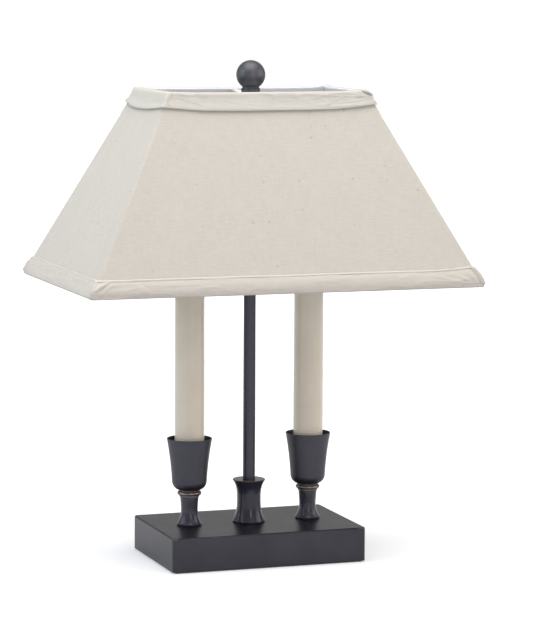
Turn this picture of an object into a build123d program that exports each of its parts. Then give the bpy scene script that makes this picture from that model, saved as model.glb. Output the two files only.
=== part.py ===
"""Two-candle accent lamp: a weighted box base, two candle stands with cups and sleeves, a centre rod,
and a linen shade with four sloping sides that a ball finial clamps to the top of the rod.

Millimetres. +Z is up, +X runs along the base, and the origin is the middle of the felt on the floor.
The front is -Y, and the supply cord enters at the back, +Y.
"""

from build123d import *

import os
from math import hypot, sqrt

# Base box
base_length = 210.0
base_depth = 140.0
shell_height = 35.3
shell_wall = 3.2
box_corner_radius = 4.0
box_top_radius = 1.8
box_foot_radius = 0.6
felt_thickness = 1.2
felt_inset = 3.2
board_thickness = 2.0
board_ledge = 1.5
board_gap = 0.3
weight_thickness = 12.0
weight_margin = 5.0
weight_corner_radius = 6.0

# Cord bushing in the back wall of the base
bushing_bore = 6.5
bushing_wall = 1.5
bushing_lip = 2.2
bushing_flange_thickness = 1.6
bushing_tail = 2.4
bushing_height = 13.0
bushing_gap = 0.1

# Threaded pipe, nuts and washers
pipe_diameter = 10.2
pipe_wall = 1.6
pipe_clearance = 0.2
pipe_tail = 2.5
thread_gap = 0.05
nut_across_flats = 14.3
nut_height = 4.0
nut_chamfer = 0.5
washer_diameter = 20.0
washer_thickness = 1.2

# Centre pedestal and rod
pedestal_height = 45.1
pedestal_rim_radius = 17.2
pedestal_waist_radius = 12.5
pedestal_foot_radius = 17.2
pedestal_seat_depth = 8.0
pedestal_edge = 0.6
rod_diameter = 12.7
rod_length = 406.9
rod_seat_gap = 0.1
nipple_reach = 20.0

# Stud at the top of the rod, and the ball finial
stud_diameter = 6.35
stud_flange_radius = 8.0
stud_flange_thickness = 1.4
stud_plug_length = 14.0
stud_length = 13.0
ball_radius = 15.0
finial_neck_radius = 9.7
finial_neck_height = 7.6
finial_neck_edge = 0.7
finial_groove_depth = 1.1
finial_groove_width = 1.2
finial_bore_depth = 14.0
clamp_gap = 0.3

# Candle stands
candle_spacing = 131.0
stem_height = 36.8
stem_waist_radius = 8.8
stem_foot_radius = 13.3
stem_foot_edge = 1.6
stem_ring_radius = 10.5
stem_ring_height = 1.5
bead_radius = 12.55
bead_height = 4.4
bead_step = 0.7
cup_height = 54.7
cup_corner_radius = 10.0
cup_flare = 5.4
cup_wall = 1.2
cup_play = 1.5
candle_diameter = 31.0
candle_wall = 1.2
candle_length = 222.4
candle_seat_gap = 0.1

# Bulb
bulb_cap_radius = 13.0
bulb_cap_height = 22.0
bulb_cap_wall = 0.5
bulb_foot_height = 3.0
bulb_tip_radius = 4.5
bulb_tip_height = 2.0
bulb_radius = 30.0
bulb_length = 108.0
bulb_neck_radius = 13.6
bulb_neck_height = 3.0
bulb_glass_wall = 0.9
bulb_glass_tail = 6.0
bulb_glass_gap = 0.2

# Lamp socket, built outwards from the bulb's cap
bulb_thread_gap = 0.3
screw_shell_wall = 0.5
screw_shell_height = 21.0
screw_shell_gap = 0.5
contact_radius = 3.0
contact_height = 1.6
contact_margin = 2.0
liner_wall = 0.7
liner_gap = 0.1
liner_setback = 2.0
socket_wall = 0.6
socket_height = 50.0
socket_lip = 0.7
socket_overlap = 7.0
socket_fit_gap = 0.15
cap_wall = 0.9
cap_height = 11.0
hub_radius = 7.8
hub_height = 6.0
switch_height = 20.0
switch_hollow_margin = 1.0
switch_hollow_height = 6.0

# Turn key of the switch
key_height = 13.5
key_shaft_radius = 2.0
key_shaft_gap = 0.08
key_slot_gap = 1.2
key_bore_depth = 8.0
key_stand_off = 2.0
knob_radius = 5.2
knob_length = 15.0
knob_edge = 0.5
flute_count = 12
flute_radius = 0.8

# Wires from the switches to the splices in the base
wire_diameter = 2.4
wire_pitch = 2.6
wire_drop_radius = 6.5
wire_turn_radius = 12.0
wire_lead_in = 12.0
splice_radius = 3.4
splice_length = 17.0
splice_offset = 20.0
splice_edge = 0.8
splice_gap = 0.3

# Shade, measured over the outer faces of the linen at its lowest and highest level
shade_bottom_height = 290.8
shade_height = 198.6
shade_bottom_length = 418.0
shade_bottom_depth = 266.0
shade_top_length = 212.0
shade_top_depth = 116.0
linen_thickness = 0.9
lining_thickness = 0.6
frame_wire_diameter = 3.6
frame_corner_radius = 5.0
frame_gap = 0.15
weld_gap = 0.05
trim_height = 19.0
trim_thickness = 1.6
trim_hem = 11.0
trim_gap = 0.1
trim_corner_radius = 2.6
trim_edge_radius = 0.6
spider_washer_radius = 12.5
spider_thickness = 1.6
spider_width = 7.0
spider_hole_gap = 0.3
spider_flat_reach = 18.0
spider_top_reach = 9.0
spider_bend_radius = 5.0
spider_slit_gap = 0.5

# Radii and levels that follow from the sizes above
left_x = -candle_spacing / 2
right_x = candle_spacing / 2
stand_points = [(left_x, 0), (0, 0), (right_x, 0)]
pipe_radius = pipe_diameter / 2
pipe_bore_radius = pipe_radius - pipe_wall
hole_radius = pipe_radius + pipe_clearance
thread_radius = pipe_radius + thread_gap
candle_radius = candle_diameter / 2
bushing_radius = bushing_bore / 2 + bushing_wall

shell_bottom = felt_thickness
base_top = shell_bottom + shell_height
shell_ceiling = base_top - shell_wall
board_top = shell_bottom + board_thickness
weight_bottom = shell_ceiling - weight_thickness
clamp_nut_top = weight_bottom - washer_thickness
clamp_nut_bottom = clamp_nut_top - nut_height
pipe_bottom = clamp_nut_bottom - pipe_tail

pedestal_top = base_top + pedestal_height
rod_bottom = pedestal_top - pedestal_seat_depth
rod_top = rod_bottom + rod_length
stud_seat = rod_top + stud_flange_thickness
spider_bottom = stud_seat + clamp_gap
finial_bottom = spider_bottom + spider_thickness + clamp_gap
finial_neck_top = finial_bottom + finial_neck_height
finial_groove_radius = finial_neck_radius - finial_groove_depth
ball_centre = finial_neck_top + sqrt(ball_radius**2 - finial_groove_radius**2)

stem_top = base_top + stem_height
cup_shoulder_radius = candle_radius + cup_play + cup_wall
cup_seat_radius = cup_shoulder_radius - cup_corner_radius
cup_rim_radius = cup_shoulder_radius + cup_flare
cup_shoulder = stem_top + cup_corner_radius
cup_floor = stem_top + cup_wall
cup_rim = stem_top + cup_height
candle_bottom = (
    cup_shoulder
    - sqrt((cup_corner_radius - cup_wall) ** 2 - (candle_radius - cup_seat_radius) ** 2)
    + candle_seat_gap
)
candle_top = candle_bottom + candle_length

screw_shell_inner = bulb_cap_radius + bulb_thread_gap
screw_shell_outer = screw_shell_inner + screw_shell_wall
liner_inner = screw_shell_outer + screw_shell_gap
liner_outer = liner_inner + liner_wall
socket_inner = liner_outer + liner_gap
socket_outer = socket_inner + socket_wall
cap_inner = socket_outer + socket_fit_gap
cap_outer = cap_inner + cap_wall
switch_radius = liner_inner - liner_gap
socket_floor = candle_top + cap_wall
cap_rim = candle_top + cap_height
socket_bottom = cap_rim - socket_overlap
socket_mouth = socket_bottom + socket_height
switch_top = socket_floor + switch_height
key_level = socket_floor + key_height
knob_start = cap_outer + key_stand_off
knob_end = knob_start + knob_length
wire_top = socket_floor + switch_hollow_height
wire_level = board_top + splice_gap + splice_radius

bulb_bottom = switch_top + contact_height + clamp_gap
bulb_foot = bulb_bottom + bulb_tip_height + bulb_foot_height
bulb_cap_top = bulb_foot + bulb_cap_height
bulb_top = bulb_bottom + bulb_length

shade_top_height = shade_bottom_height + shade_height
slope_x = (shade_bottom_length - shade_top_length) / 2 / shade_height
slope_y = (shade_bottom_depth - shade_top_depth) / 2 / shade_height
linen_bottom = shade_bottom_height + trim_thickness + trim_gap
linen_top = shade_top_height - trim_thickness - trim_gap
frame_wire_radius = frame_wire_diameter / 2
wire_inset = linen_thickness + frame_gap + frame_wire_radius
lining_inset = wire_inset + frame_wire_radius + frame_gap
hem_inset = lining_inset + lining_thickness + frame_gap
bottom_ring_level = linen_bottom + frame_gap + frame_wire_radius
top_ring_level = linen_top - frame_gap - frame_wire_radius
spider_level = spider_bottom + spider_thickness / 2

os.makedirs("parts", exist_ok=True)


def turning_plane(x=0.0):
    """Upright plane through a turned piece's axis: its x is the radius and its y is the height."""
    return Plane(origin=(x, 0, 0), x_dir=(1, 0, 0), z_dir=(0, -1, 0))


def turning_axis(x=0.0):
    """Upright axis of a turned piece."""
    return Axis((x, 0, 0), (0, 0, 1))


def boxed(length, depth, inset, corner):
    """Rounded rectangle of the base, moved in by an inset from its outer faces."""
    RectangleRounded(length - 2 * inset, depth - 2 * inset, max(corner - inset, 0.5))


# Base

with BuildPart() as base_shell:
    with BuildSketch(Plane.XY.offset(shell_bottom)):
        boxed(base_length, base_depth, 0, box_corner_radius)
    extrude(amount=shell_height)
    fillet(base_shell.faces().sort_by(Axis.Z)[-1].edges(), box_top_radius)
    fillet(base_shell.faces().sort_by(Axis.Z)[0].edges(), box_foot_radius)
    with BuildSketch(Plane.XY.offset(shell_bottom)):
        boxed(base_length, base_depth, shell_wall, box_corner_radius)
    extrude(amount=shell_height - shell_wall, mode=Mode.SUBTRACT)
    with BuildSketch(Plane.XY.offset(shell_bottom)):
        boxed(base_length, base_depth, shell_wall - board_ledge, box_corner_radius)
    extrude(amount=board_thickness, mode=Mode.SUBTRACT)
    with BuildSketch(Plane.XY.offset(base_top)):
        with Locations(*stand_points):
            Circle(hole_radius)
    extrude(amount=-2 * shell_wall, mode=Mode.SUBTRACT)
    with BuildSketch(Plane.XZ.offset(-base_depth / 2)):
        with Locations((0, bushing_height)):
            Circle(bushing_radius + bushing_gap)
    extrude(amount=2 * shell_wall, mode=Mode.SUBTRACT)
base_shell.part.label = "base_shell"
export_step(base_shell.part, "parts/base_shell.step")

with BuildPart() as base_weight:
    with BuildSketch(Plane.XY.offset(weight_bottom)):
        weight_inset = shell_wall + weight_margin
        RectangleRounded(base_length - 2 * weight_inset, base_depth - 2 * weight_inset, weight_corner_radius)
        with Locations(*stand_points):
            Circle(hole_radius, mode=Mode.SUBTRACT)
    extrude(amount=weight_thickness)
base_weight.part.label = "base_weight"
export_step(base_weight.part, "parts/base_weight.step")

with BuildPart() as bottom_board:
    with BuildSketch(Plane.XY.offset(shell_bottom)):
        boxed(base_length, base_depth, shell_wall - board_ledge + board_gap, box_corner_radius)
    extrude(amount=board_thickness)
bottom_board.part.label = "bottom_board"
export_step(bottom_board.part, "parts/bottom_board.step")

with BuildPart() as base_felt:
    with BuildSketch():
        boxed(base_length, base_depth, felt_inset, box_corner_radius)
    extrude(amount=felt_thickness)
base_felt.part.label = "base_felt"
export_step(base_felt.part, "parts/base_felt.step")

with BuildPart() as cord_bushing:
    with BuildSketch(Plane(origin=(0, base_depth / 2, bushing_height), x_dir=(1, 0, 0), z_dir=(0, 0, 1))):
        tail_end = -shell_wall - bushing_tail
        flange_face = bushing_gap + bushing_flange_thickness
        with BuildLine():
            Polyline(
                (bushing_bore / 2, tail_end),
                (bushing_radius - bushing_wall / 3, tail_end),
                (bushing_radius, tail_end + bushing_wall / 2),
                (bushing_radius, bushing_gap),
                (bushing_radius + bushing_lip, bushing_gap),
                (bushing_radius + bushing_lip, flange_face - bushing_wall / 3),
                (bushing_radius + bushing_lip - bushing_wall / 3, flange_face),
                (bushing_bore / 2, flange_face),
                close=True,
            )
        make_face()
    revolve(axis=Axis((0, 0, bushing_height), (0, 1, 0)))
cord_bushing.part.label = "cord_bushing"
export_step(cord_bushing.part, "parts/cord_bushing.step")


# Threaded pipe and its fixings

with BuildPart() as base_washers:
    with BuildSketch(Plane.XY.offset(weight_bottom)):
        with Locations(*stand_points):
            Circle(washer_diameter / 2)
            Circle(hole_radius, mode=Mode.SUBTRACT)
    extrude(amount=-washer_thickness)
base_washers.part.label = "base_washers"
export_step(base_washers.part, "parts/base_washers.step")

with BuildPart() as base_nuts:
    with BuildSketch(Plane.XY.offset(clamp_nut_bottom)):
        with Locations(*stand_points):
            RegularPolygon(nut_across_flats / 2, 6, major_radius=False)
            Circle(thread_radius, mode=Mode.SUBTRACT)
    extrude(amount=nut_height)
    chamfer(base_nuts.edges().filter_by(GeomType.LINE).filter_by(Plane.XY), nut_chamfer)
base_nuts.part.label = "base_nuts"
export_step(base_nuts.part, "parts/base_nuts.step")

with BuildPart() as cup_locknuts:
    with BuildSketch(Plane.XY.offset(cup_floor)):
        with Locations(stand_points[0], stand_points[-1]):
            RegularPolygon(nut_across_flats / 2, 6, major_radius=False)
            Circle(thread_radius, mode=Mode.SUBTRACT)
    extrude(amount=nut_height)
    chamfer(cup_locknuts.edges().filter_by(GeomType.LINE).filter_by(Plane.XY), nut_chamfer)
cup_locknuts.part.label = "cup_locknuts"
export_step(cup_locknuts.part, "parts/cup_locknuts.step")


def threaded_pipe(name, x, top):
    """Length of lamp pipe from under the base nuts up to a level."""
    with BuildPart() as pipe:
        with BuildSketch(Plane(origin=(x, 0, pipe_bottom))):
            Circle(pipe_radius)
            Circle(pipe_bore_radius, mode=Mode.SUBTRACT)
        extrude(amount=top - pipe_bottom)
        chamfer(pipe.edges().filter_by(GeomType.CIRCLE).sort_by(SortBy.RADIUS)[-2:], nut_chamfer)
    pipe.part.label = name
    export_step(pipe.part, f"parts/{name}.step")


# Centre column

threaded_pipe("centre_pipe", 0, rod_bottom + nipple_reach)

with BuildPart() as centre_pedestal:
    with BuildSketch(turning_plane()):
        foot = (pedestal_foot_radius, base_top + 2 * pedestal_edge)
        rim = (pedestal_rim_radius, pedestal_top - pedestal_edge)
        seat_radius = rod_diameter / 2 + rod_seat_gap
        with BuildLine():
            Polyline((hole_radius, base_top), (pedestal_foot_radius - pedestal_edge, base_top), foot)
            Spline(
                foot,
                (pedestal_waist_radius + 0.75, base_top + 0.27 * pedestal_height),
                (pedestal_waist_radius, base_top + 0.52 * pedestal_height),
                (pedestal_waist_radius + 1.6, base_top + 0.85 * pedestal_height),
                rim,
            )
            Polyline(
                rim,
                (pedestal_rim_radius - pedestal_edge, pedestal_top),
                (seat_radius, pedestal_top),
                (seat_radius, rod_bottom),
                (hole_radius, rod_bottom),
                (hole_radius, base_top),
            )
        make_face()
    revolve(axis=turning_axis())
centre_pedestal.part.label = "centre_pedestal"
export_step(centre_pedestal.part, "parts/centre_pedestal.step")

with BuildPart() as centre_rod:
    with BuildSketch(Plane.XY.offset(rod_bottom)):
        Circle(rod_diameter / 2)
        Circle(thread_radius, mode=Mode.SUBTRACT)
    extrude(amount=rod_length)
centre_rod.part.label = "centre_rod"
export_step(centre_rod.part, "parts/centre_rod.step")

with BuildPart() as rod_top_stud:
    with BuildSketch(turning_plane()):
        stud_radius = stud_diameter / 2
        stud_end = stud_seat + stud_length
        with BuildLine():
            Polyline(
                (0, rod_top - stud_plug_length),
                (pipe_radius, rod_top - stud_plug_length),
                (pipe_radius, rod_top),
                (stud_flange_radius, rod_top),
                (stud_flange_radius, stud_seat),
                (stud_radius, stud_seat),
                (stud_radius, stud_end - nut_chamfer),
                (stud_radius - nut_chamfer, stud_end),
                (0, stud_end),
                close=True,
            )
        make_face()
    revolve(axis=turning_axis())
rod_top_stud.part.label = "rod_top_stud"
export_step(rod_top_stud.part, "parts/rod_top_stud.step")

with BuildPart() as ball_finial:
    with BuildSketch(turning_plane()):
        bore_radius = stud_diameter / 2 + thread_gap
        bore_top = finial_bottom + finial_bore_depth
        groove_bottom = finial_neck_top - finial_groove_width
        with BuildLine():
            Polyline(
                (0, ball_centre + ball_radius),
                (0, bore_top + bore_radius / 2),
                (bore_radius, bore_top),
                (bore_radius, finial_bottom),
                (finial_neck_radius - finial_neck_edge, finial_bottom),
                (finial_neck_radius, finial_bottom + finial_neck_edge),
                (finial_neck_radius, groove_bottom - finial_neck_edge),
                (finial_neck_radius - finial_neck_edge, groove_bottom),
                (finial_groove_radius, groove_bottom),
                (finial_groove_radius, finial_neck_top),
            )
            ThreePointArc(
                (finial_groove_radius, finial_neck_top),
                (ball_radius, ball_centre),
                (0, ball_centre + ball_radius),
            )
        make_face()
    revolve(axis=turning_axis())
ball_finial.part.label = "ball_finial"
export_step(ball_finial.part, "parts/ball_finial.step")


# Candle stands


def candle_stem(side, x):
    """Turned stem: flared foot, waist, a thin ring and a round bead under the cup."""
    foot = (stem_foot_radius, base_top + stem_foot_edge)
    bead_top = stem_top - bead_step
    bead_bottom = bead_top - bead_height
    bead_root = bead_radius - bead_height / 2
    ring_bottom = bead_bottom - stem_ring_height
    neck = (stem_waist_radius + 0.9, ring_bottom)
    with BuildPart() as stem:
        with BuildSketch(turning_plane(x)):
            with BuildLine():
                Polyline((hole_radius, base_top), (stem_foot_radius - stem_foot_edge / 2, base_top), foot)
                Spline(
                    foot,
                    (stem_waist_radius + 0.6, base_top + 0.26 * stem_height),
                    (stem_waist_radius, base_top + 0.5 * stem_height),
                    neck,
                )
                Polyline(neck, (stem_ring_radius, ring_bottom), (stem_ring_radius, bead_bottom), (bead_root, bead_bottom))
                ThreePointArc((bead_root, bead_bottom), (bead_radius, (bead_bottom + bead_top) / 2), (bead_root, bead_top))
                Polyline((bead_root, bead_top), (bead_root, stem_top), (hole_radius, stem_top), (hole_radius, base_top))
            make_face()
        revolve(axis=turning_axis(x))
    stem.part.label = f"{side}_stem"
    export_step(stem.part, f"parts/{side}_stem.step")


def candle_cup(side, x):
    """Spun cup: a flat seat, a rounded corner, and a thin wall that flares to the rim."""
    seat = cup_seat_radius
    wall_middle = (cup_shoulder + cup_rim) / 2
    middle_radius = cup_shoulder_radius + 0.36 * cup_flare
    corner_reach = cup_corner_radius / sqrt(2)
    inner_reach = (cup_corner_radius - cup_wall) / sqrt(2)
    with BuildPart() as cup:
        with BuildSketch(turning_plane(x)):
            with BuildLine():
                Line((hole_radius, stem_top), (seat, stem_top))
                ThreePointArc(
                    (seat, stem_top),
                    (seat + corner_reach, cup_shoulder - corner_reach),
                    (cup_shoulder_radius, cup_shoulder),
                )
                ThreePointArc(
                    (cup_shoulder_radius, cup_shoulder),
                    (middle_radius, wall_middle),
                    (cup_rim_radius, cup_rim),
                )
                Line((cup_rim_radius, cup_rim), (cup_rim_radius - cup_wall, cup_rim))
                ThreePointArc(
                    (cup_rim_radius - cup_wall, cup_rim),
                    (middle_radius - cup_wall, wall_middle),
                    (cup_shoulder_radius - cup_wall, cup_shoulder),
                )
                ThreePointArc(
                    (cup_shoulder_radius - cup_wall, cup_shoulder),
                    (seat + inner_reach, cup_shoulder - inner_reach),
                    (seat, cup_floor),
                )
                Polyline((seat, cup_floor), (hole_radius, cup_floor), (hole_radius, stem_top))
            make_face()
        revolve(axis=turning_axis(x))
        fillet(cup.edges().group_by(Axis.Z)[-1], 0.4 * cup_wall)
    cup.part.label = f"{side}_cup"
    export_step(cup.part, f"parts/{side}_cup.step")


def candle_sleeve(side, x):
    """Ivory tube that stands in the cup and looks like a candle."""
    with BuildPart() as sleeve:
        with BuildSketch(Plane(origin=(x, 0, candle_bottom))):
            Circle(candle_radius)
            Circle(candle_radius - candle_wall, mode=Mode.SUBTRACT)
        extrude(amount=candle_length)
    sleeve.part.label = f"{side}_candle_sleeve"
    export_step(sleeve.part, f"parts/{side}_candle_sleeve.step")


# Lamp socket and its switch


def key_plane(x, outward, along=0.0):
    """Plane across the switch key's axis, facing away from the lamp's middle."""
    return Plane(origin=(x + outward * along, 0, key_level), x_dir=(0, 1, 0), z_dir=(outward, 0, 0))


def socket_cap(side, x):
    """Lower cup of the socket, screwed on the pipe by its hub and closing the top of the candle."""
    with BuildPart() as cap:
        with BuildSketch(turning_plane(x)):
            with BuildLine():
                Polyline(
                    (thread_radius, candle_top - hub_height),
                    (hub_radius, candle_top - hub_height),
                    (hub_radius, candle_top),
                    (cap_outer - cap_wall, candle_top),
                    (cap_outer, socket_floor),
                    (cap_outer, cap_rim),
                    (cap_inner, cap_rim),
                    (cap_inner, socket_floor),
                    (thread_radius, socket_floor),
                    close=True,
                )
            make_face()
        revolve(axis=turning_axis(x))
    cap.part.label = f"{side}_socket_cap"
    export_step(cap.part, f"parts/{side}_socket_cap.step")


def socket_shell(side, x, outward):
    """Upper tube of the socket with a rolled lip, and a hole for the switch key."""
    lip = (socket_outer + socket_lip, socket_mouth - socket_lip)
    with BuildPart() as shell:
        with BuildSketch(turning_plane(x)):
            with BuildLine():
                Line((socket_outer, socket_bottom), (socket_outer, socket_mouth - 2 * socket_lip))
                ThreePointArc((socket_outer, socket_mouth - 2 * socket_lip), lip, (socket_outer, socket_mouth))
                Polyline(
                    (socket_outer, socket_mouth),
                    (socket_inner, socket_mouth),
                    (socket_inner, socket_bottom),
                    (socket_outer, socket_bottom),
                )
            make_face()
        revolve(axis=turning_axis(x))
        with BuildSketch(key_plane(x, outward)):
            Circle(key_shaft_radius + key_slot_gap)
        extrude(amount=cap_outer, mode=Mode.SUBTRACT)
    shell.part.label = f"{side}_socket_shell"
    export_step(shell.part, f"parts/{side}_socket_shell.step")


def socket_liner(side, x, outward):
    """Fibre insulating sleeve between the shell and the switch."""
    with BuildPart() as liner:
        with BuildSketch(Plane(origin=(x, 0, socket_floor))):
            Circle(liner_outer)
            Circle(liner_inner, mode=Mode.SUBTRACT)
        extrude(amount=socket_mouth - socket_floor - liner_setback)
        with BuildSketch(key_plane(x, outward)):
            Circle(key_shaft_radius + key_slot_gap)
        extrude(amount=cap_outer, mode=Mode.SUBTRACT)
    liner.part.label = f"{side}_socket_liner"
    export_step(liner.part, f"parts/{side}_socket_liner.step")


def switch_body(side, x, outward):
    """Moulded block of the rotary switch, bored for the key and hollow below over the pipe."""
    with BuildPart() as body:
        with BuildSketch(Plane(origin=(x, 0, socket_floor))):
            Circle(switch_radius)
        extrude(amount=switch_height)
        with BuildSketch(Plane(origin=(x, 0, socket_floor))):
            Circle(pipe_radius + switch_hollow_margin)
        extrude(amount=switch_hollow_height, mode=Mode.SUBTRACT)
        with BuildSketch(key_plane(x, outward, switch_radius - key_bore_depth)):
            Circle(key_shaft_radius + key_shaft_gap)
        extrude(amount=2 * key_bore_depth, mode=Mode.SUBTRACT)
    body.part.label = f"{side}_switch_body"
    export_step(body.part, f"parts/{side}_switch_body.step")


def screw_shell(side, x):
    """Metal shell that the bulb screws into, standing on the switch body."""
    with BuildPart() as shell:
        with BuildSketch(turning_plane(x)):
            with BuildLine():
                Polyline(
                    (contact_radius + contact_margin, switch_top),
                    (screw_shell_outer, switch_top),
                    (screw_shell_outer, switch_top + screw_shell_height),
                    (screw_shell_inner, switch_top + screw_shell_height),
                    (screw_shell_inner, switch_top + screw_shell_wall),
                    (contact_radius + contact_margin, switch_top + screw_shell_wall),
                    close=True,
                )
            make_face()
        revolve(axis=turning_axis(x))
    shell.part.label = f"{side}_screw_shell"
    export_step(shell.part, f"parts/{side}_screw_shell.step")


def centre_contact(side, x):
    """Contact button under the tip of the bulb."""
    with BuildPart() as contact:
        with BuildSketch(Plane(origin=(x, 0, switch_top))):
            Circle(contact_radius)
        extrude(amount=contact_height)
        fillet(contact.faces().sort_by(Axis.Z)[-1].edges(), 0.4 * contact_height)
    contact.part.label = f"{side}_centre_contact"
    export_step(contact.part, f"parts/{side}_centre_contact.step")


def switch_key(side, x, outward):
    """Turn key: a shaft that sits in the switch and a fluted knob outside the shell."""
    shaft_start = switch_radius - key_bore_depth + clamp_gap
    with BuildPart() as key:
        with BuildSketch(Plane(origin=(x, 0, key_level), x_dir=(outward, 0, 0), z_dir=(0, -outward, 0))):
            with BuildLine():
                Polyline(
                    (shaft_start, 0),
                    (shaft_start, key_shaft_radius),
                    (knob_start, key_shaft_radius),
                    (knob_start, knob_radius - knob_edge),
                    (knob_start + knob_edge, knob_radius),
                    (knob_end - knob_edge, knob_radius),
                    (knob_end, knob_radius - knob_edge),
                    (knob_end, 0),
                    close=True,
                )
            make_face()
        revolve(axis=Axis((x, 0, key_level), (1, 0, 0)))
        with BuildSketch(key_plane(x, outward, knob_start)):
            with PolarLocations(knob_radius + flute_radius / 3, flute_count):
                Circle(flute_radius)
        extrude(amount=knob_length, mode=Mode.SUBTRACT)
    key.part.label = f"{side}_switch_key"
    export_step(key.part, f"parts/{side}_switch_key.step")


# Bulb


def bulb_cap(side, x):
    """Screw cap of the bulb with the insulator and the tip contact under it."""
    with BuildPart() as cap:
        with BuildSketch(turning_plane(x)):
            with BuildLine():
                Polyline(
                    (0, bulb_bottom),
                    (bulb_tip_radius / 2, bulb_bottom),
                    (bulb_tip_radius, bulb_bottom + bulb_tip_height),
                    (bulb_cap_radius, bulb_foot),
                    (bulb_cap_radius, bulb_cap_top),
                    (bulb_cap_radius - bulb_cap_wall, bulb_cap_top),
                    (bulb_cap_radius - bulb_cap_wall, bulb_foot + bulb_cap_wall),
                    (0, bulb_foot + bulb_cap_wall),
                    close=True,
                )
            make_face()
        revolve(axis=turning_axis(x))
    cap.part.label = f"{side}_bulb_cap"
    export_step(cap.part, f"parts/{side}_bulb_cap.step")


def envelope_line(inset):
    """Half outline of the glass envelope, moved in by the wall, from its open tail to its crown."""
    tail_radius = bulb_cap_radius - bulb_cap_wall - bulb_glass_gap - inset
    neck_bottom = bulb_cap_top + bulb_glass_gap
    throat = (bulb_neck_radius - inset, neck_bottom + bulb_neck_height)
    belt_radius = bulb_radius - inset
    belt_level = bulb_top - bulb_radius
    belt = (belt_radius, belt_level)
    crown = (0, belt_level + belt_radius)
    shoulder = (belt_radius / sqrt(2), belt_level + belt_radius / sqrt(2))
    Polyline((tail_radius, neck_bottom - bulb_glass_tail), (tail_radius, neck_bottom), throat)
    Spline(throat, belt, tangents=((0, 1), (0, 1)))
    ThreePointArc(belt, shoulder, crown)


def bulb_glass(side, x):
    """Pear-shaped glass envelope, open below inside the cap."""
    tail_radius = bulb_cap_radius - bulb_cap_wall - bulb_glass_gap
    tail_bottom = bulb_cap_top + bulb_glass_gap - bulb_glass_tail
    with BuildPart() as glass:
        with BuildSketch(turning_plane(x)):
            with BuildLine():
                envelope_line(0)
                envelope_line(bulb_glass_wall)
                Line((tail_radius, tail_bottom), (tail_radius - bulb_glass_wall, tail_bottom))
                Line((0, bulb_top), (0, bulb_top - bulb_glass_wall))
            make_face()
        revolve(axis=turning_axis(x))
    glass.part.label = f"{side}_bulb_glass"
    export_step(glass.part, f"parts/{side}_bulb_glass.step")


# Wiring inside the stand


def lamp_wires(side, x, outward):
    """Two wires from the switch down the pipe, round into the base and along to the two splices."""
    with BuildPart() as wires:
        for row in (-1, 1):
            start = (x, row * wire_pitch / 2, wire_top)
            with BuildLine() as route:
                FilletPolyline(
                    start,
                    (x, row * wire_pitch / 2, wire_level),
                    (outward * (splice_length / 2 + wire_lead_in), row * splice_offset, wire_level),
                    (outward * splice_length / 2, row * splice_offset, wire_level),
                    radius=[wire_drop_radius, wire_turn_radius],
                )
            with BuildSketch(Plane(origin=start, z_dir=(0, 0, -1))):
                Circle(wire_diameter / 2)
            sweep(path=route.wire())
    wires.part.label = f"{side}_lamp_wires"
    export_step(wires.part, f"parts/{side}_lamp_wires.step")


with BuildPart() as wire_splices:
    for row in (-1, 1):
        with BuildSketch(Plane(origin=(-splice_length / 2, row * splice_offset, wire_level), z_dir=(1, 0, 0))):
            Circle(splice_radius)
        extrude(amount=splice_length)
    chamfer(wire_splices.edges().filter_by(GeomType.CIRCLE), splice_edge)
wire_splices.part.label = "wire_splices"
export_step(wire_splices.part, "parts/wire_splices.step")

for side, x, outward in (("left", left_x, -1), ("right", right_x, 1)):
    threaded_pipe(f"{side}_pipe", x, socket_floor)
    candle_stem(side, x)
    candle_cup(side, x)
    candle_sleeve(side, x)
    socket_cap(side, x)
    socket_shell(side, x, outward)
    socket_liner(side, x, outward)
    switch_body(side, x, outward)
    screw_shell(side, x)
    centre_contact(side, x)
    switch_key(side, x, outward)
    bulb_cap(side, x)
    bulb_glass(side, x)
    lamp_wires(side, x, outward)


# Shade


def half_sizes(level, inset):
    """Half length and half depth of the shade at a level, moved in square to the linen's outer faces."""
    climb = level - shade_bottom_height
    half_x = shade_bottom_length / 2 - slope_x * climb - inset * hypot(1, slope_x)
    half_y = shade_bottom_depth / 2 - slope_y * climb - inset * hypot(1, slope_y)
    return half_x, half_y


def corner_at(inset):
    """Corner radius of what lies at an inset, so that it stays parallel to the frame's bent wires."""
    return max(frame_corner_radius + wire_inset - inset, 0.5)


def level_section(level, inset, corner):
    """Outline of the shade at a level, with its sides at an inset from the linen's faces."""
    half_x, half_y = half_sizes(level, inset)
    with BuildSketch(Plane.XY.offset(level)) as section:
        if corner:
            RectangleRounded(2 * half_x, 2 * half_y, corner)
        else:
            Rectangle(2 * half_x, 2 * half_y)
    return section.sketch.face()


def sloping_block(low, high, inset, corner=0.0, mode=Mode.ADD):
    """Solid four-sided block between two levels, added to or cut from the piece being built."""
    loft([level_section(low, inset, corner), level_section(high, inset, corner)], mode=mode)


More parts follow.
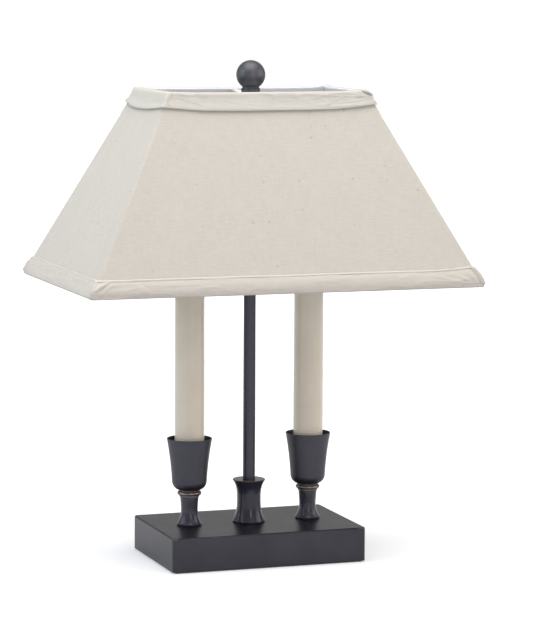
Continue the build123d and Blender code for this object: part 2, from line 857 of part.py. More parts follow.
def linen_panel(name, facing_y, sign):
    """One sloping side of linen, mitred along the hips of the shade."""
    bottom_x, bottom_y = half_sizes(shade_bottom_height, 0)
    top_x, top_y = half_sizes(shade_top_height, 0)
    hip_run = (bottom_x - top_x) / (bottom_y - top_y)
    meet_x = top_x - top_y * hip_run
    far_y = bottom_y + trim_height
    far_x = bottom_x + trim_height * hip_run
    with BuildPart() as panel:
        sloping_block(linen_bottom, linen_top, 0)
        sloping_block(linen_bottom, linen_top, linen_thickness, mode=Mode.SUBTRACT)
        with BuildSketch():
            with BuildLine():
                if facing_y:
                    Polyline(
                        (-meet_x, 0), (-far_x, sign * far_y), (far_x, sign * far_y), (meet_x, 0), close=True
                    )
                else:
                    Polyline(
                        (sign * meet_x, 0), (sign * far_x, -far_y), (sign * far_x, far_y), close=True
                    )
            make_face()
        extrude(amount=shade_top_height, mode=Mode.INTERSECT)
    panel.part.label = name
    export_step(panel.part, f"parts/{name}.step")


def cut_spider_slits():
    """Slits in the cloth inside the long sides, where the spider's ends reach the top ring."""
    with BuildSketch(Plane.XZ) as slit:
        with Locations((0, top_ring_level)):
            Rectangle(spider_width + 2 * spider_slit_gap, spider_thickness + 2 * spider_slit_gap)
    extrude(slit.sketch, amount=half_sizes(top_ring_level, wire_inset)[1], both=True, mode=Mode.SUBTRACT)


def frame_ring(name, level):
    """Closed square ring of bent wire inside the shade at a level."""
    half_x, half_y = half_sizes(level, wire_inset)
    with BuildPart() as ring:
        with BuildLine(Plane.XY.offset(level)) as path:
            FilletPolyline(
                (-half_x, -half_y),
                (half_x, -half_y),
                (half_x, half_y),
                (-half_x, half_y),
                radius=frame_corner_radius,
                close=True,
            )
        with BuildSketch(Plane(origin=path.wire() @ 0, z_dir=path.wire() % 0)):
            Circle(frame_wire_radius)
        sweep(path=path.wire())
    ring.part.label = name
    export_step(ring.part, f"parts/{name}.step")


linen_panel("front_linen_panel", True, -1)
linen_panel("back_linen_panel", True, 1)
linen_panel("left_linen_panel", False, -1)
linen_panel("right_linen_panel", False, 1)

with BuildPart() as shade_lining:
    sloping_block(linen_bottom, linen_top, lining_inset, corner_at(lining_inset))
    inner_face = lining_inset + lining_thickness
    sloping_block(linen_bottom, linen_top, inner_face, corner_at(inner_face), Mode.SUBTRACT)
    cut_spider_slits()
shade_lining.part.label = "shade_lining"
export_step(shade_lining.part, "parts/shade_lining.step")

frame_ring("shade_bottom_ring", bottom_ring_level)
frame_ring("shade_top_ring", top_ring_level)

with BuildPart() as shade_corner_ribs:
    rib_ends = (bottom_ring_level + frame_wire_radius + weld_gap, top_ring_level - frame_wire_radius - weld_gap)
    corner_setback = frame_corner_radius * (1 - 1 / sqrt(2))
    for x_sign in (-1, 1):
        for y_sign in (-1, 1):
            for level in rib_ends:
                half_x, half_y = half_sizes(level, wire_inset)
                rib_x = x_sign * (half_x - corner_setback)
                rib_y = y_sign * (half_y - corner_setback)
                with BuildSketch(Plane(origin=(rib_x, rib_y, level))):
                    Circle(frame_wire_radius)
            loft()
shade_corner_ribs.part.label = "shade_corner_ribs"
export_step(shade_corner_ribs.part, "parts/shade_corner_ribs.step")

with BuildPart() as shade_spider:
    ring_reach = half_sizes(top_ring_level, wire_inset)[1] - frame_wire_radius - weld_gap
    with BuildSketch(Plane.YZ):
        with BuildLine():
            FilletPolyline(
                (-ring_reach, top_ring_level),
                (-ring_reach + spider_top_reach, top_ring_level),
                (-spider_flat_reach, spider_level),
                (spider_flat_reach, spider_level),
                (ring_reach - spider_top_reach, top_ring_level),
                (ring_reach, top_ring_level),
                radius=spider_bend_radius,
            )
        trace(line_width=spider_thickness)
    extrude(amount=spider_width / 2, both=True)
    with BuildSketch(Plane.XY.offset(spider_bottom)):
        Circle(spider_washer_radius)
    extrude(amount=spider_thickness)
    with BuildSketch(Plane.XY.offset(spider_bottom)):
        Circle(stud_diameter / 2 + spider_hole_gap)
    extrude(amount=spider_thickness, mode=Mode.SUBTRACT)
shade_spider.part.label = "shade_spider"
export_step(shade_spider.part, "parts/shade_spider.step")

with BuildPart() as shade_top_trim:
    trim_low = shade_top_height - trim_height
    fold_low = shade_top_height - trim_thickness
    mouth_inset = hem_inset + trim_thickness
    sloping_block(trim_low, shade_top_height, -trim_thickness, trim_corner_radius)
    fillet(shade_top_trim.faces().sort_by(Axis.Z)[-1].edges(), trim_edge_radius)
    fillet(shade_top_trim.faces().sort_by(Axis.Z)[0].edges(), trim_edge_radius)
    sloping_block(trim_low, fold_low, 0, mode=Mode.SUBTRACT)
    sloping_block(shade_top_height - trim_hem, fold_low, hem_inset, corner_at(hem_inset))
    sloping_block(trim_low, shade_top_height, mouth_inset, corner_at(mouth_inset), Mode.SUBTRACT)
    cut_spider_slits()
shade_top_trim.part.label = "shade_top_trim"
export_step(shade_top_trim.part, "parts/shade_top_trim.step")

with BuildPart() as shade_bottom_trim:
    trim_high = shade_bottom_height + trim_height
    fold_high = shade_bottom_height + trim_thickness
    sloping_block(shade_bottom_height, trim_high, -trim_thickness, trim_corner_radius)
    fillet(shade_bottom_trim.faces().sort_by(Axis.Z)[-1].edges(), trim_edge_radius)
    fillet(shade_bottom_trim.faces().sort_by(Axis.Z)[0].edges(), trim_edge_radius)
    sloping_block(fold_high, trim_high, 0, mode=Mode.SUBTRACT)
    sloping_block(fold_high, shade_bottom_height + trim_hem, hem_inset, corner_at(hem_inset))
    sloping_block(shade_bottom_height, trim_high, mouth_inset, corner_at(mouth_inset), Mode.SUBTRACT)
shade_bottom_trim.part.label = "shade_bottom_trim"
export_step(shade_bottom_trim.part, "parts/shade_bottom_trim.step")
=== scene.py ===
"""Two-candle accent lamp: finishes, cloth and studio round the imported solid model.

Metres, in the model's own frame: +Z is up, +X runs along the base, and the lamp's front faces -Y.
"""

import logging
import math
from collections.abc import Callable, Sequence
from dataclasses import dataclass
from enum import Enum

import bmesh
import bpy
from mathutils import Matrix, Vector, noise


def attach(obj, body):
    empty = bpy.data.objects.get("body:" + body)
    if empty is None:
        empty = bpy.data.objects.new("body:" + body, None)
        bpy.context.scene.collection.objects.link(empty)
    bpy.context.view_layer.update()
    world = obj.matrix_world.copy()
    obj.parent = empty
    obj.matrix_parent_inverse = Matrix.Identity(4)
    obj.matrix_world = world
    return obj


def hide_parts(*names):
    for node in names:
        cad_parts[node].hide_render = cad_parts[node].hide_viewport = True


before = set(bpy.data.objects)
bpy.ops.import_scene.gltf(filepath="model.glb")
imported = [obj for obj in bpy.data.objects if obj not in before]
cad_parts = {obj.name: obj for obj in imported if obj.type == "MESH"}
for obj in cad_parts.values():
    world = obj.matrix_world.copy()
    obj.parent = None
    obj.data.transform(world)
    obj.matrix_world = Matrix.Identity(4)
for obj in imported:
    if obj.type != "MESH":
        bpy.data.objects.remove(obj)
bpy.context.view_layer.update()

LOG = logging.getLogger("accent_lamp")

Colour = tuple[float, float, float]
Place = tuple[float, float, float]
Object = bpy.types.Object
Material = bpy.types.Material
NodeTree = bpy.types.NodeTree
Outputs = bpy.types.bpy_prop_collection
Socket = bpy.types.NodeSocket
Value = float | tuple | Socket

WHITE: Colour = (1.0, 1.0, 1.0)
HEM_INSET = 0.0064


class Wiring:
    """A node tree under construction, with short calls for its nodes and sums."""

    def __init__(self, tree: NodeTree) -> None:
        """Starts on an emptied tree."""
        self.tree = tree
        self.tree.nodes.clear()

    def feed(self, socket: Socket, value: Value) -> None:
        """Links an output to a socket, or sets the socket's own value.

        Args:
            socket: The input to fill.
            value: An output socket, a number or a tuple of numbers.
        """
        if isinstance(value, Socket):
            self.tree.links.new(value, socket)
        elif isinstance(value, tuple) and len(value) == 3 and socket.type == "RGBA":
            socket.default_value = (*value, 1.0)
        else:
            socket.default_value = value

    def node(self, kind: str, inputs: dict[str | int, Value] | None = None, **settings: object) -> bpy.types.Node:
        """Adds one node.

        Args:
            kind: The node's type name.
            inputs: Values for its inputs, by socket name or number.
            settings: Values for its own properties.

        Returns:
            The new node.
        """
        row, column = divmod(len(self.tree.nodes), 14)
        made = self.tree.nodes.new(kind)
        made.location = (230 * column, -260 * row)
        for name, value in settings.items():
            setattr(made, name, value)
        for name, value in (inputs or {}).items():
            self.feed(made.inputs[name], value)
        return made

    def result(self, kind: str, inputs: dict[str | int, Value], **settings: object) -> Socket:
        """Adds one node and returns its first output."""
        return self.node(kind, inputs, **settings).outputs[0]

    def math(self, operation: str, *values: Value, clamp: bool = False) -> Socket:
        """Adds a Math node for one to three terms, held between 0 and 1 if clamp is True, and returns its result."""
        return self.result("ShaderNodeMath", dict(enumerate(values)), operation=operation, use_clamp=clamp)

    def weighted(self, first: Value, second: Value, share: float) -> Socket:
        """Averages two numbers, with this share for the first and the rest for the second."""
        return self.math("ADD", self.math("MULTIPLY", first, share), self.math("MULTIPLY", second, 1.0 - share))

    def line(self, value: Value, slope: float, start: float) -> Socket:
        """Multiplies a number by a slope and adds a start."""
        return self.math("ADD", self.math("MULTIPLY", value, slope), start)

    def centred(self, value: Value, reach: float) -> Socket:
        """Moves a number's middle from 0.5 to 0 and stretches it by a reach."""
        return self.math("MULTIPLY", self.math("SUBTRACT", value, 0.5), reach)

    def length(self, one: Value, other: Value) -> Socket:
        """Works out a line's length from its reach along two axes."""
        squares = [self.math("MULTIPLY", part, part) for part in (one, other)]
        return self.math("SQRT", self.math("ADD", *squares))

    def vector(self, operation: str, *values: Value) -> Socket:
        """Adds a Vector Math node and returns its vector."""
        return self.result("ShaderNodeVectorMath", dict(enumerate(values)), operation=operation)

    def between(self, value: Value, low: float, high: float, first: float = 0.0, last: float = 1.0) -> Socket:
        """Maps a value smoothly, from first at and before low to last at and past high."""
        ranges = dict(enumerate((value, low, high, first, last)))
        return self.result("ShaderNodeMapRange", ranges, interpolation_type="SMOOTHSTEP")

    def mix(self, share: Value, first: Value, second: Value) -> Socket:
        """Mixes two colours, of which the second shows by this share."""
        return self.node("ShaderNodeMix", {0: share, 6: first, 7: second}, data_type="RGBA").outputs[2]

    def noise(self, place: Value, scale: float, detail: float = 2.0, roughness: float = 0.5) -> Socket:
        """Adds a Noise Texture and returns its number, which averages 0.5."""
        inputs = {"Vector": place, "Scale": scale, "Detail": detail, "Roughness": roughness}
        return self.result("ShaderNodeTexNoise", inputs)

    def split(self, place: Value) -> tuple[Socket, ...]:
        """Returns the three parts of a vector or a colour."""
        return tuple(self.node("ShaderNodeSeparateXYZ", {"Vector": place}).outputs)


class EffectGroup(Wiring):
    """A shader group that works out numbers from a place in metres and a few sizes."""

    def __init__(self, name: str, numbers: dict[str, float], results: Sequence[str]) -> None:
        """Starts the group with its sockets.

        Args:
            name: The group's name.
            numbers: Name and start value of each number that it takes besides the place.
            results: Name of each number that it gives.
        """
        super().__init__(bpy.data.node_groups.new(name, "ShaderNodeTree"))
        sockets = self.tree.interface
        sockets.new_socket(name="Place", in_out="INPUT", socket_type="NodeSocketVector")
        for label, value in numbers.items():
            sockets.new_socket(name=label, in_out="INPUT", socket_type="NodeSocketFloat").default_value = value
        for label in results:
            sockets.new_socket(name=label, in_out="OUTPUT", socket_type="NodeSocketFloat")
        self.given = self.node("NodeGroupInput").outputs
        self.results = self.node("NodeGroupOutput").inputs

    def give(self, **values: Value) -> NodeTree:
        """Feeds the group's results.

        Args:
            values: A value for each result, by name.

        Returns:
            The group.
        """
        for label, value in values.items():
            self.feed(self.results[label], value)
        return self.tree


class Effects:
    """The shader groups that several finishes share."""

    thread_wander: float = 0.0016
    weft_stretch: Place = (95.0, 620.0, 1.0)
    warp_stretch: Place = (560.0, 70.0, 1.0)
    weft_share: float = 0.64
    fleck_cells: Place = (54.0, 68.0, 1.0)
    fleck_tear: Place = (0.05, 0.05, 0.0)

    def __init__(self) -> None:
        """Builds each group once."""
        self.weave = self.build_weave()
        self.wear = self.build_wear()
        self.patina = self.build_patina()
        self.turning = self.build_turning()

    def build_weave(self) -> NodeTree:
        """Plain weave with uneven threads and sparse flecks, on a place across the cloth.

        Returns:
            The group, with results Height, Tone and Fleck.
        """
        w = EffectGroup("woven_threads", {"Pitch": 0.0008, "Flecks": 0.5}, ("Height", "Tone", "Fleck"))
        place = w.given["Place"]
        wander = w.centred(w.noise(place, 55.0), self.thread_wander)
        turns = []
        for part in w.split(place)[:2]:
            threads = w.math("DIVIDE", w.math("ADD", part, wander), w.given["Pitch"])
            turns.append(w.math("SINE", w.math("MULTIPLY", threads, math.pi)))
        raised = w.math("POWER", w.math("ABSOLUTE", w.math("MULTIPLY", *turns)), 0.5)
        weft, warp = (
            w.noise(w.vector("MULTIPLY", place, stretch), 1.0, 3.0, 0.6)
            for stretch in (self.weft_stretch, self.warp_stretch)
        )
        tone = w.weighted(w.weighted(weft, warp, self.weft_share), w.noise(place, 38.0, 3.0, 0.6), 0.84)
        slub = w.between(weft, 0.6, 0.78)
        # Each fleck is the torn middle of a cell; the cell's red part chooses it and the green part sizes it.
        torn = w.node("ShaderNodeTexNoise", {"Vector": place, "Scale": 900.0, "Detail": 1.0}).outputs["Color"]
        torn = w.vector("MULTIPLY", w.vector("SUBTRACT", torn, (0.5, 0.5, 0.5)), self.fleck_tear)
        ragged = w.vector("ADD", w.vector("MULTIPLY", place, self.fleck_cells), torn)
        cells = w.node("ShaderNodeTexVoronoi", {"Vector": ragged, "Scale": 1.0}, voronoi_dimensions="2D").outputs
        red, green, _ = w.split(cells["Color"])
        size = w.line(w.math("MULTIPLY", green, green), 0.085, 0.055)
        spot = w.math("SUBTRACT", 1.0, w.between(w.math("DIVIDE", cells["Distance"], size), 0.1, 1.0), clamp=True)
        chosen = w.math("MULTIPLY", spot, w.math("LESS_THAN", red, w.given["Flecks"]))
        fleck = w.math("MULTIPLY", chosen, w.line(green, 0.38, 0.10))
        return w.give(Height=w.weighted(raised, slub, 0.6), Tone=tone, Fleck=fleck)

    def build_wear(self) -> NodeTree:
        """Bare metal along an edge, given the distance from that edge.

        Returns:
            The group, with result Mask.
        """
        w = EffectGroup("edge_wear", {"Distance": 1.0, "Width": 0.001, "Amount": 0.5}, ("Mask",))
        place = w.given["Place"]
        near = w.math("SUBTRACT", 1.0, w.math("DIVIDE", w.given["Distance"], w.given["Width"]), clamp=True)
        soft = w.math("MULTIPLY", near, w.math("SUBTRACT", 2.0, near))
        broken = w.weighted(w.noise(place, 26.0, 3.0, 0.6), w.noise(place, 420.0, 2.0, 0.6), 0.75)
        low = w.math("SUBTRACT", 0.95, w.given["Amount"])
        kept = w.math("DIVIDE", w.math("SUBTRACT", broken, low), 0.22, clamp=True)
        return w.give(Mask=w.math("MULTIPLY", soft, kept))

    def build_patina(self) -> NodeTree:
        """Cloudy tone, fine grain and faint smudges of a rubbed or moulded surface.

        Returns:
            The group, with results Tone, Grain and Smudge.
        """
        w = EffectGroup("surface_patina", {"Cloud Size": 0.04, "Grain Size": 0.0008}, ("Tone", "Grain", "Smudge"))
        scaled = []
        for size in ("Cloud Size", "Grain Size"):
            inputs = {0: w.given["Place"], "Scale": w.math("DIVIDE", 1.0, w.given[size])}
            scaled.append(w.result("ShaderNodeVectorMath", inputs, operation="SCALE"))
        cloud, grain = scaled
        return w.give(
            Tone=w.noise(cloud, 1.0, 5.0, 0.6), Grain=w.noise(grain, 1.0), Smudge=w.noise(cloud, 3.1, 3.0, 0.7)
        )

    def build_turning(self) -> NodeTree:
        """Fine rings that a lathe tool or a spinning tool leaves along an upright axis.

        Returns:
            The group, with result Height.
        """
        w = EffectGroup("turning_rings", {"Pitch": 0.0006}, ("Height",))
        turn = w.math("DIVIDE", w.split(w.given["Place"])[2], w.given["Pitch"])
        inputs = {"W": turn, "Scale": 1.0, "Detail": 2.0}
        return w.give(Height=w.result("ShaderNodeTexNoise", inputs, noise_dimensions="1D"))


class Surface(Wiring):
    """One material with its Principled shader, and the shared effects at hand."""

    def __init__(self, name: str, effects: Effects) -> None:
        """Makes the material and joins its shader to its output.

        Args:
            name: The material's name.
            effects: The shared groups.
        """
        self.material = bpy.data.materials.new(name)
        self.material.use_nodes = True
        super().__init__(self.material.node_tree)
        self.effects = effects
        self.shader = self.node("ShaderNodeBsdfPrincipled")
        self.node("ShaderNodeOutputMaterial", {"Surface": self.shader.outputs[0]})

    def give(self, **values: Value) -> None:
        """Feeds sockets of the shader, named with underscores for spaces."""
        for label, value in values.items():
            self.feed(self.shader.inputs[label.replace("_", " ")], value)

    def effect(self, tree: NodeTree, **inputs: Value) -> Outputs:
        """Places a shared effect, its inputs named with underscores for spaces, and returns its outputs."""
        named = {label.replace("_", " "): value for label, value in inputs.items()}
        return self.node("ShaderNodeGroup", named, node_tree=tree).outputs

    def patina(self, place: Socket, cloud_size: float, grain_size: float) -> Outputs:
        """Places the patina and returns its outputs Tone, Grain and Smudge."""
        return self.effect(self.effects.patina, Place=place, Cloud_Size=cloud_size, Grain_Size=grain_size)

    def worn(self, place: Socket, away: Socket, width: float, amount: Value) -> Socket:
        """Returns the mask of bare metal for a distance from an edge."""
        return self.effect(self.effects.wear, Place=place, Distance=away, Width=width, Amount=amount)[0]

    def turned(self, place: Socket, grain: Socket, pitch: float | None, share: float) -> Socket:
        """Adds the marks of turning to a surface's grain.

        Args:
            place: Place measured from the piece's axis.
            grain: Height of the grain.
            pitch: Distance between the marks, or None where the piece isn't turned.
            share: The grain's share of the height.

        Returns:
            The height from 0 to 1.
        """
        if pitch is None:
            return grain
        return self.weighted(grain, self.effect(self.effects.turning, Place=place, Pitch=pitch)[0], share)

    def place(self, centre: Place = (0.0, 0.0, 0.0)) -> Socket:
        """Returns the surface's own place in metres, measured from a centre."""
        return self.vector("SUBTRACT", self.node("ShaderNodeTexCoord").outputs["Object"], centre)

    def on_cloth(self, chart: str) -> Socket:
        """Returns the place in one of a cloth's maps."""
        return self.result("ShaderNodeUVMap", {}, uv_map=chart)

    def bump(self, height: Value, distance: float, strength: float) -> None:
        """Raises the shading by a height from 0 to 1, where 1 is a distance in metres."""
        inputs = {"Height": height, "Distance": distance, "Strength": strength}
        self.give(Normal=self.result("ShaderNodeBump", inputs))


@dataclass(frozen=True)
class Finish:
    """What every finish is: a name, and a way to dress a surface."""

    name: str

    def dress(self, w: Surface) -> None:
        """Feeds the surface's shader."""
        raise NotImplementedError

    def build(self, effects: Effects) -> Material:
        """Makes the material.

        Args:
            effects: The shared groups.

        Returns:
            The material.
        """
        surface = Surface(self.name, effects)
        self.dress(surface)
        return surface.material


@dataclass(frozen=True)
class Ring:
    """A circular edge or band of a turned piece that wears to bare metal."""

    radius: float
    level: float
    width: float
    amount: float = 0.5

    def mask(self, w: Surface, place: Socket) -> Socket:
        """Bare metal on the edge.

        Args:
            w: The surface.
            place: Place measured from the piece's axis.

        Returns:
            The mask.
        """
        x, y, level = w.split(place)
        sideways = w.math("SUBTRACT", w.length(x, y), self.radius)
        upwards = w.math("SUBTRACT", level, self.level)
        return w.worn(place, w.length(sideways, upwards), self.width, self.amount)


@dataclass(frozen=True)
class BoxEdges:
    """The straight edges of a box, which wear to bare metal, most at its upper corners."""

    half_length: float
    half_depth: float
    top: float
    width: float
    upright: float = 1.35
    foot: tuple[float, float] = (1.6, 0.0006)
    corner: tuple[float, float] = (0.002, 0.012)
    amount: tuple[float, float] = (0.8, 0.38)

    def mask(self, w: Surface, place: Socket) -> Socket:
        """Bare metal along the edges.

        Args:
            w: The surface.
            place: Place measured from the middle of the box's foot.

        Returns:
            The mask.
        """
        x, y, level = w.split(place)
        from_x = w.math("SUBTRACT", self.half_length, w.math("ABSOLUTE", x))
        from_y = w.math("SUBTRACT", self.half_depth, w.math("ABSOLUTE", y))
        from_top = w.math("SUBTRACT", self.top, level)
        from_side = w.math("MINIMUM", from_x, from_y)
        upright = w.math("MULTIPLY", w.math("MAXIMUM", from_x, from_y), self.upright)
        upper = w.math("MAXIMUM", from_side, from_top)
        lower = w.math("MAXIMUM", from_side, w.line(level, *self.foot))
        away = w.math("MINIMUM", w.math("MINIMUM", upright, upper), lower)
        corner = w.math("ADD", w.math("ADD", from_x, from_y), from_top)
        return w.worn(place, away, self.width, w.between(corner, *self.corner, *self.amount))


@dataclass(frozen=True)
class BronzeFinish(Finish):
    """Oil-rubbed bronze over brass, dark with bare metal along its edges."""

    dark: Colour
    light: Colour
    metallic: float
    roughness: float
    bare: Colour = (0.20, 0.145, 0.12)
    bare_roughness: float = 0.36
    cloud_size: float = 0.05
    grain_size: float = 0.0009
    grain_height: float = 0.000005
    tint: float = 0.7
    wear: float = 1.0
    turned_pitch: float | None = None
    centre: Place = (0.0, 0.0, 0.0)
    edges: tuple[Ring | BoxEdges, ...] = ()

    def dress(self, w: Surface) -> None:
        """Feeds the shader the dark bronze and, where the piece has edges that wear, their bare metal.

        Args:
            w: The surface.
        """
        place = w.place(self.centre)
        patina = w.patina(place, self.cloud_size, self.grain_size)
        colour = w.mix(w.between(patina["Tone"], 0.3, 0.7), self.dark, self.light)
        rough = w.math("ADD", w.centred(patina["Smudge"], 0.08), self.roughness)
        metallic = self.metallic
        if self.edges:
            mask, *others = (edge.mask(w, place) for edge in self.edges)
            for other in others:
                mask = w.math("MAXIMUM", mask, other)
            mask = w.math("MULTIPLY", mask, self.wear)
            colour = w.mix(mask, colour, self.bare)
            rough = w.math("ADD", rough, w.math("MULTIPLY", mask, self.bare_roughness - self.roughness))
            metallic = w.between(mask, 0.0, 1.0, self.metallic, 1.0)
        w.give(Base_Color=colour, Metallic=metallic, Roughness=rough, IOR=1.5, Specular_Tint=(self.tint,) * 3)
        w.bump(w.turned(place, patina["Grain"], self.turned_pitch, 0.4), self.grain_height, 0.5)


@dataclass(frozen=True)
class ClothFinish(Finish):
    """Woven cloth, shaded by its threads, slubs and flecks, with another colour for a facing and a lighter colour on
    the welted seam, which is a painted highlight.
    """

    light: Colour
    dark: Colour
    fleck: Colour
    pitch: float = 0.00085
    flecks: float = 0.3
    relief: float = 0.00022
    facing: Colour | None = None
    welt_highlight: Colour | None = None

    def dress(self, w: Surface) -> None:
        """Feeds the shader the weave, with the facing and the welted seam's painted highlight from the cloth's zones.

        Args:
            w: The surface.
        """
        weave = w.effect(w.effects.weave, Place=w.on_cloth("cloth"), Pitch=self.pitch, Flecks=self.flecks)
        tone = w.between(weave["Tone"], 0.34, 0.68)
        colour = w.mix(weave["Fleck"], w.mix(tone, self.dark, self.light), self.fleck)
        if self.facing or self.welt_highlight:
            facing, welt_highlight, _ = w.split(w.on_cloth("zone"))
            # The welted seam is the same linen painted lighter: a painted highlight where its roll catches the light.
            for share, other in ((welt_highlight, self.welt_highlight), (facing, self.facing)):
                if other:
                    colour = w.mix(share, colour, w.mix(tone, tuple(0.94 * part for part in other), other))
        w.give(Base_Color=colour, Roughness=w.math("SUBTRACT", 0.92, w.math("MULTIPLY", tone, 0.1)))
        w.give(Sheen_Weight=0.12, Sheen_Roughness=0.45, Specular_IOR_Level=0.25)
        w.bump(weave["Height"], self.relief, 0.8)


@dataclass(frozen=True)
class FeltFinish(Finish):
    """Pressed felt with a fuzzy, cloudy face."""

    light: Colour
    dark: Colour
    cloud_size: float = 0.006
    grain_size: float = 0.0004
    grain_height: float = 0.0004

    def dress(self, w: Surface) -> None:
        """Feeds the shader the felt's clouds and fuzz.

        Args:
            w: The surface.
        """
        patina = w.patina(w.place(), self.cloud_size, self.grain_size)
        w.give(Base_Color=w.mix(w.between(patina["Tone"], 0.35, 0.65), self.dark, self.light))
        w.give(Roughness=w.between(patina["Smudge"], 0.3, 0.7, 0.88, 1.0))
        w.give(Sheen_Weight=0.5, Sheen_Roughness=0.6, Specular_IOR_Level=0.1)
        w.bump(patina["Grain"], self.grain_height, 0.7)


@dataclass(frozen=True)
class SolidFinish(Finish):
    """Moulded, cast, plated or enamelled surface with cloudy tone and fine grain."""

    light: Colour
    dark: Colour
    roughness: float
    metallic: float = 0.0
    cloud_size: float = 0.02
    grain_size: float = 0.0006
    grain_height: float = 0.00004
    coat: float = 0.0
    turned_pitch: float | None = None

    def dress(self, w: Surface) -> None:
        """Feeds the shader the clouds, the smudges and the grain.

        Args:
            w: The surface.
        """
        place = w.place()
        patina = w.patina(place, self.cloud_size, self.grain_size)
        w.give(Base_Color=w.mix(w.between(patina["Tone"], 0.3, 0.7), self.dark, self.light))
        w.give(Roughness=w.math("ADD", w.centred(patina["Smudge"], 0.14), self.roughness, clamp=True))
        w.give(Metallic=self.metallic, Coat_Weight=self.coat, Coat_Roughness=0.15)
        w.bump(w.turned(place, patina["Grain"], self.turned_pitch, 0.5), self.grain_height, 0.6)


@dataclass(frozen=True)
class FrostedGlassFinish(Finish):
    """Etched glass of an unlit bulb."""

    light: Colour = (0.93, 0.93, 0.92)
    dark: Colour = (0.86, 0.87, 0.87)
    cloud_size: float = 0.02
    grain_size: float = 0.0005
    grain_height: float = 0.00003

    def dress(self, w: Surface) -> None:
        """Feeds the shader the half clear, etched glass.

        Args:
            w: The surface.
        """
        patina = w.patina(w.place(), self.cloud_size, self.grain_size)
        w.give(Base_Color=w.mix(patina["Tone"], self.dark, self.light))
        w.give(Roughness=w.between(patina["Smudge"], 0.3, 0.7, 0.42, 0.55))
        w.give(Transmission_Weight=0.45, IOR=1.45, Coat_Weight=0.4, Coat_Roughness=0.12)
        w.bump(patina["Grain"], self.grain_height, 0.5)


class Side(Enum):
    """The four sides of the shade, anticlockwise seen from above."""

    FRONT = 0
    RIGHT = 1
    BACK = 2
    LEFT = 3

    @property
    def word(self) -> str:
        """The side's name in small letters."""
        return self.name.lower()

    @property
    def axis(self) -> int:
        """The axis that the side runs along: 0 for the two long sides and 1 for the two ends."""
        return self.value % 2


@dataclass(frozen=True)
class Station:
    """A place on a rounded rectangle that can be found again at any size of it."""

    reach: tuple[float, float]
    facing: tuple[float, float]
    side: int
    share: float
    bend: float

    def at(self, half_x: float, half_y: float, radius: float) -> tuple[float, float]:
        """Returns the station's x and y on a rectangle with these half sizes and corner radius."""
        (x, y), (facing_x, facing_y) = self.reach, self.facing
        return x * (half_x - radius) + radius * facing_x, y * (half_y - radius) + radius * facing_y

    @property
    def on_long_side(self) -> bool:
        """True on the straight part of the front or the back."""
        return self.side % 2 == 0 and self.bend == 0.0


def spread(count: int) -> list[float]:
    """Returns shares from -1 to 1 that lie closer together towards the ends."""
    steps = [2.0 * index / (count - 1) - 1.0 for index in range(count)]
    return [0.4 * step + 0.6 * math.sin(step * math.pi / 2) for step in steps]


def side_stations(index: int, count: int, mark: float = 0.0) -> list[Station]:
    """Stations along one straight side, walking anticlockwise seen from above.

    Args:
        index: 0 is the front, 1 the right, 2 the back and 3 the left.
        count: How many stations, with both ends.
        mark: A share that one station on each side of the middle lies at exactly, or 0 for none.

    Returns:
        The stations in order.
    """
    turn = Matrix.Rotation(index * math.pi / 2, 2)
    shares = spread(count)
    for wanted in (-mark, mark) if mark else ():
        nearest = min(range(count), key=lambda place: abs(shares[place] - wanted))
        shares[nearest] = wanted
    made = []
    for share in shares:
        reach = turn @ Vector((share, -1.0))
        facing = turn @ Vector((0.0, -1.0))
        made.append(Station(tuple(reach), tuple(facing), index, share, 0.0))
    return made


def corner_stations(index: int, count: int, start: float = 0.0, end: float = 1.0) -> list[Station]:
    """Stations round the corner that follows a side.

    Args:
        index: The side before the corner.
        count: How many stations, with both ends.
        start: Where on the corner's quarter turn they begin, from 0 to 1.
        end: Where they end.

    Returns:
        The stations in order.
    """
    turn = Matrix.Rotation(index * math.pi / 2, 2)
    reach = tuple(turn @ Vector((1.0, -1.0)))
    made = []
    for step in range(count):
        bend = start + (end - start) * step / (count - 1)
        angle = (bend - 1.0) * math.pi / 2
        facing = turn @ Vector((math.cos(angle), math.sin(angle)))
        made.append(Station(reach, tuple(facing), index, 1.0, bend))
    return made


def ring_stations(straight: int, corner: int, mark: float = 0.0) -> list[Station]:
    """Stations all round.

    Args:
        straight: How many on each side, with both ends.
        corner: How many inside each corner.
        mark: As for side_stations, on the front and the back.

    Returns:
        The stations in order.
    """
    made = []
    for index in range(4):
        made += side_stations(index, straight, mark if index % 2 == 0 else 0.0)
        made += corner_stations(index, corner + 2)[1:-1]
    return made


def deselect_all() -> None:
    """Leaves nothing selected and nothing active."""
    for thing in bpy.context.selected_objects:
        thing.select_set(False)
    bpy.context.view_layer.objects.active = None


@dataclass(frozen=True)
class ClothPoint:
    """One point of a cloth grid: its place, where it lies on the flat cloth, and how far it is facing or under the
    painted highlight of the welted seam.
    """

    place: Vector
    flat: tuple[float, float]
    zone: tuple[float, float] = (0.0, 0.0)


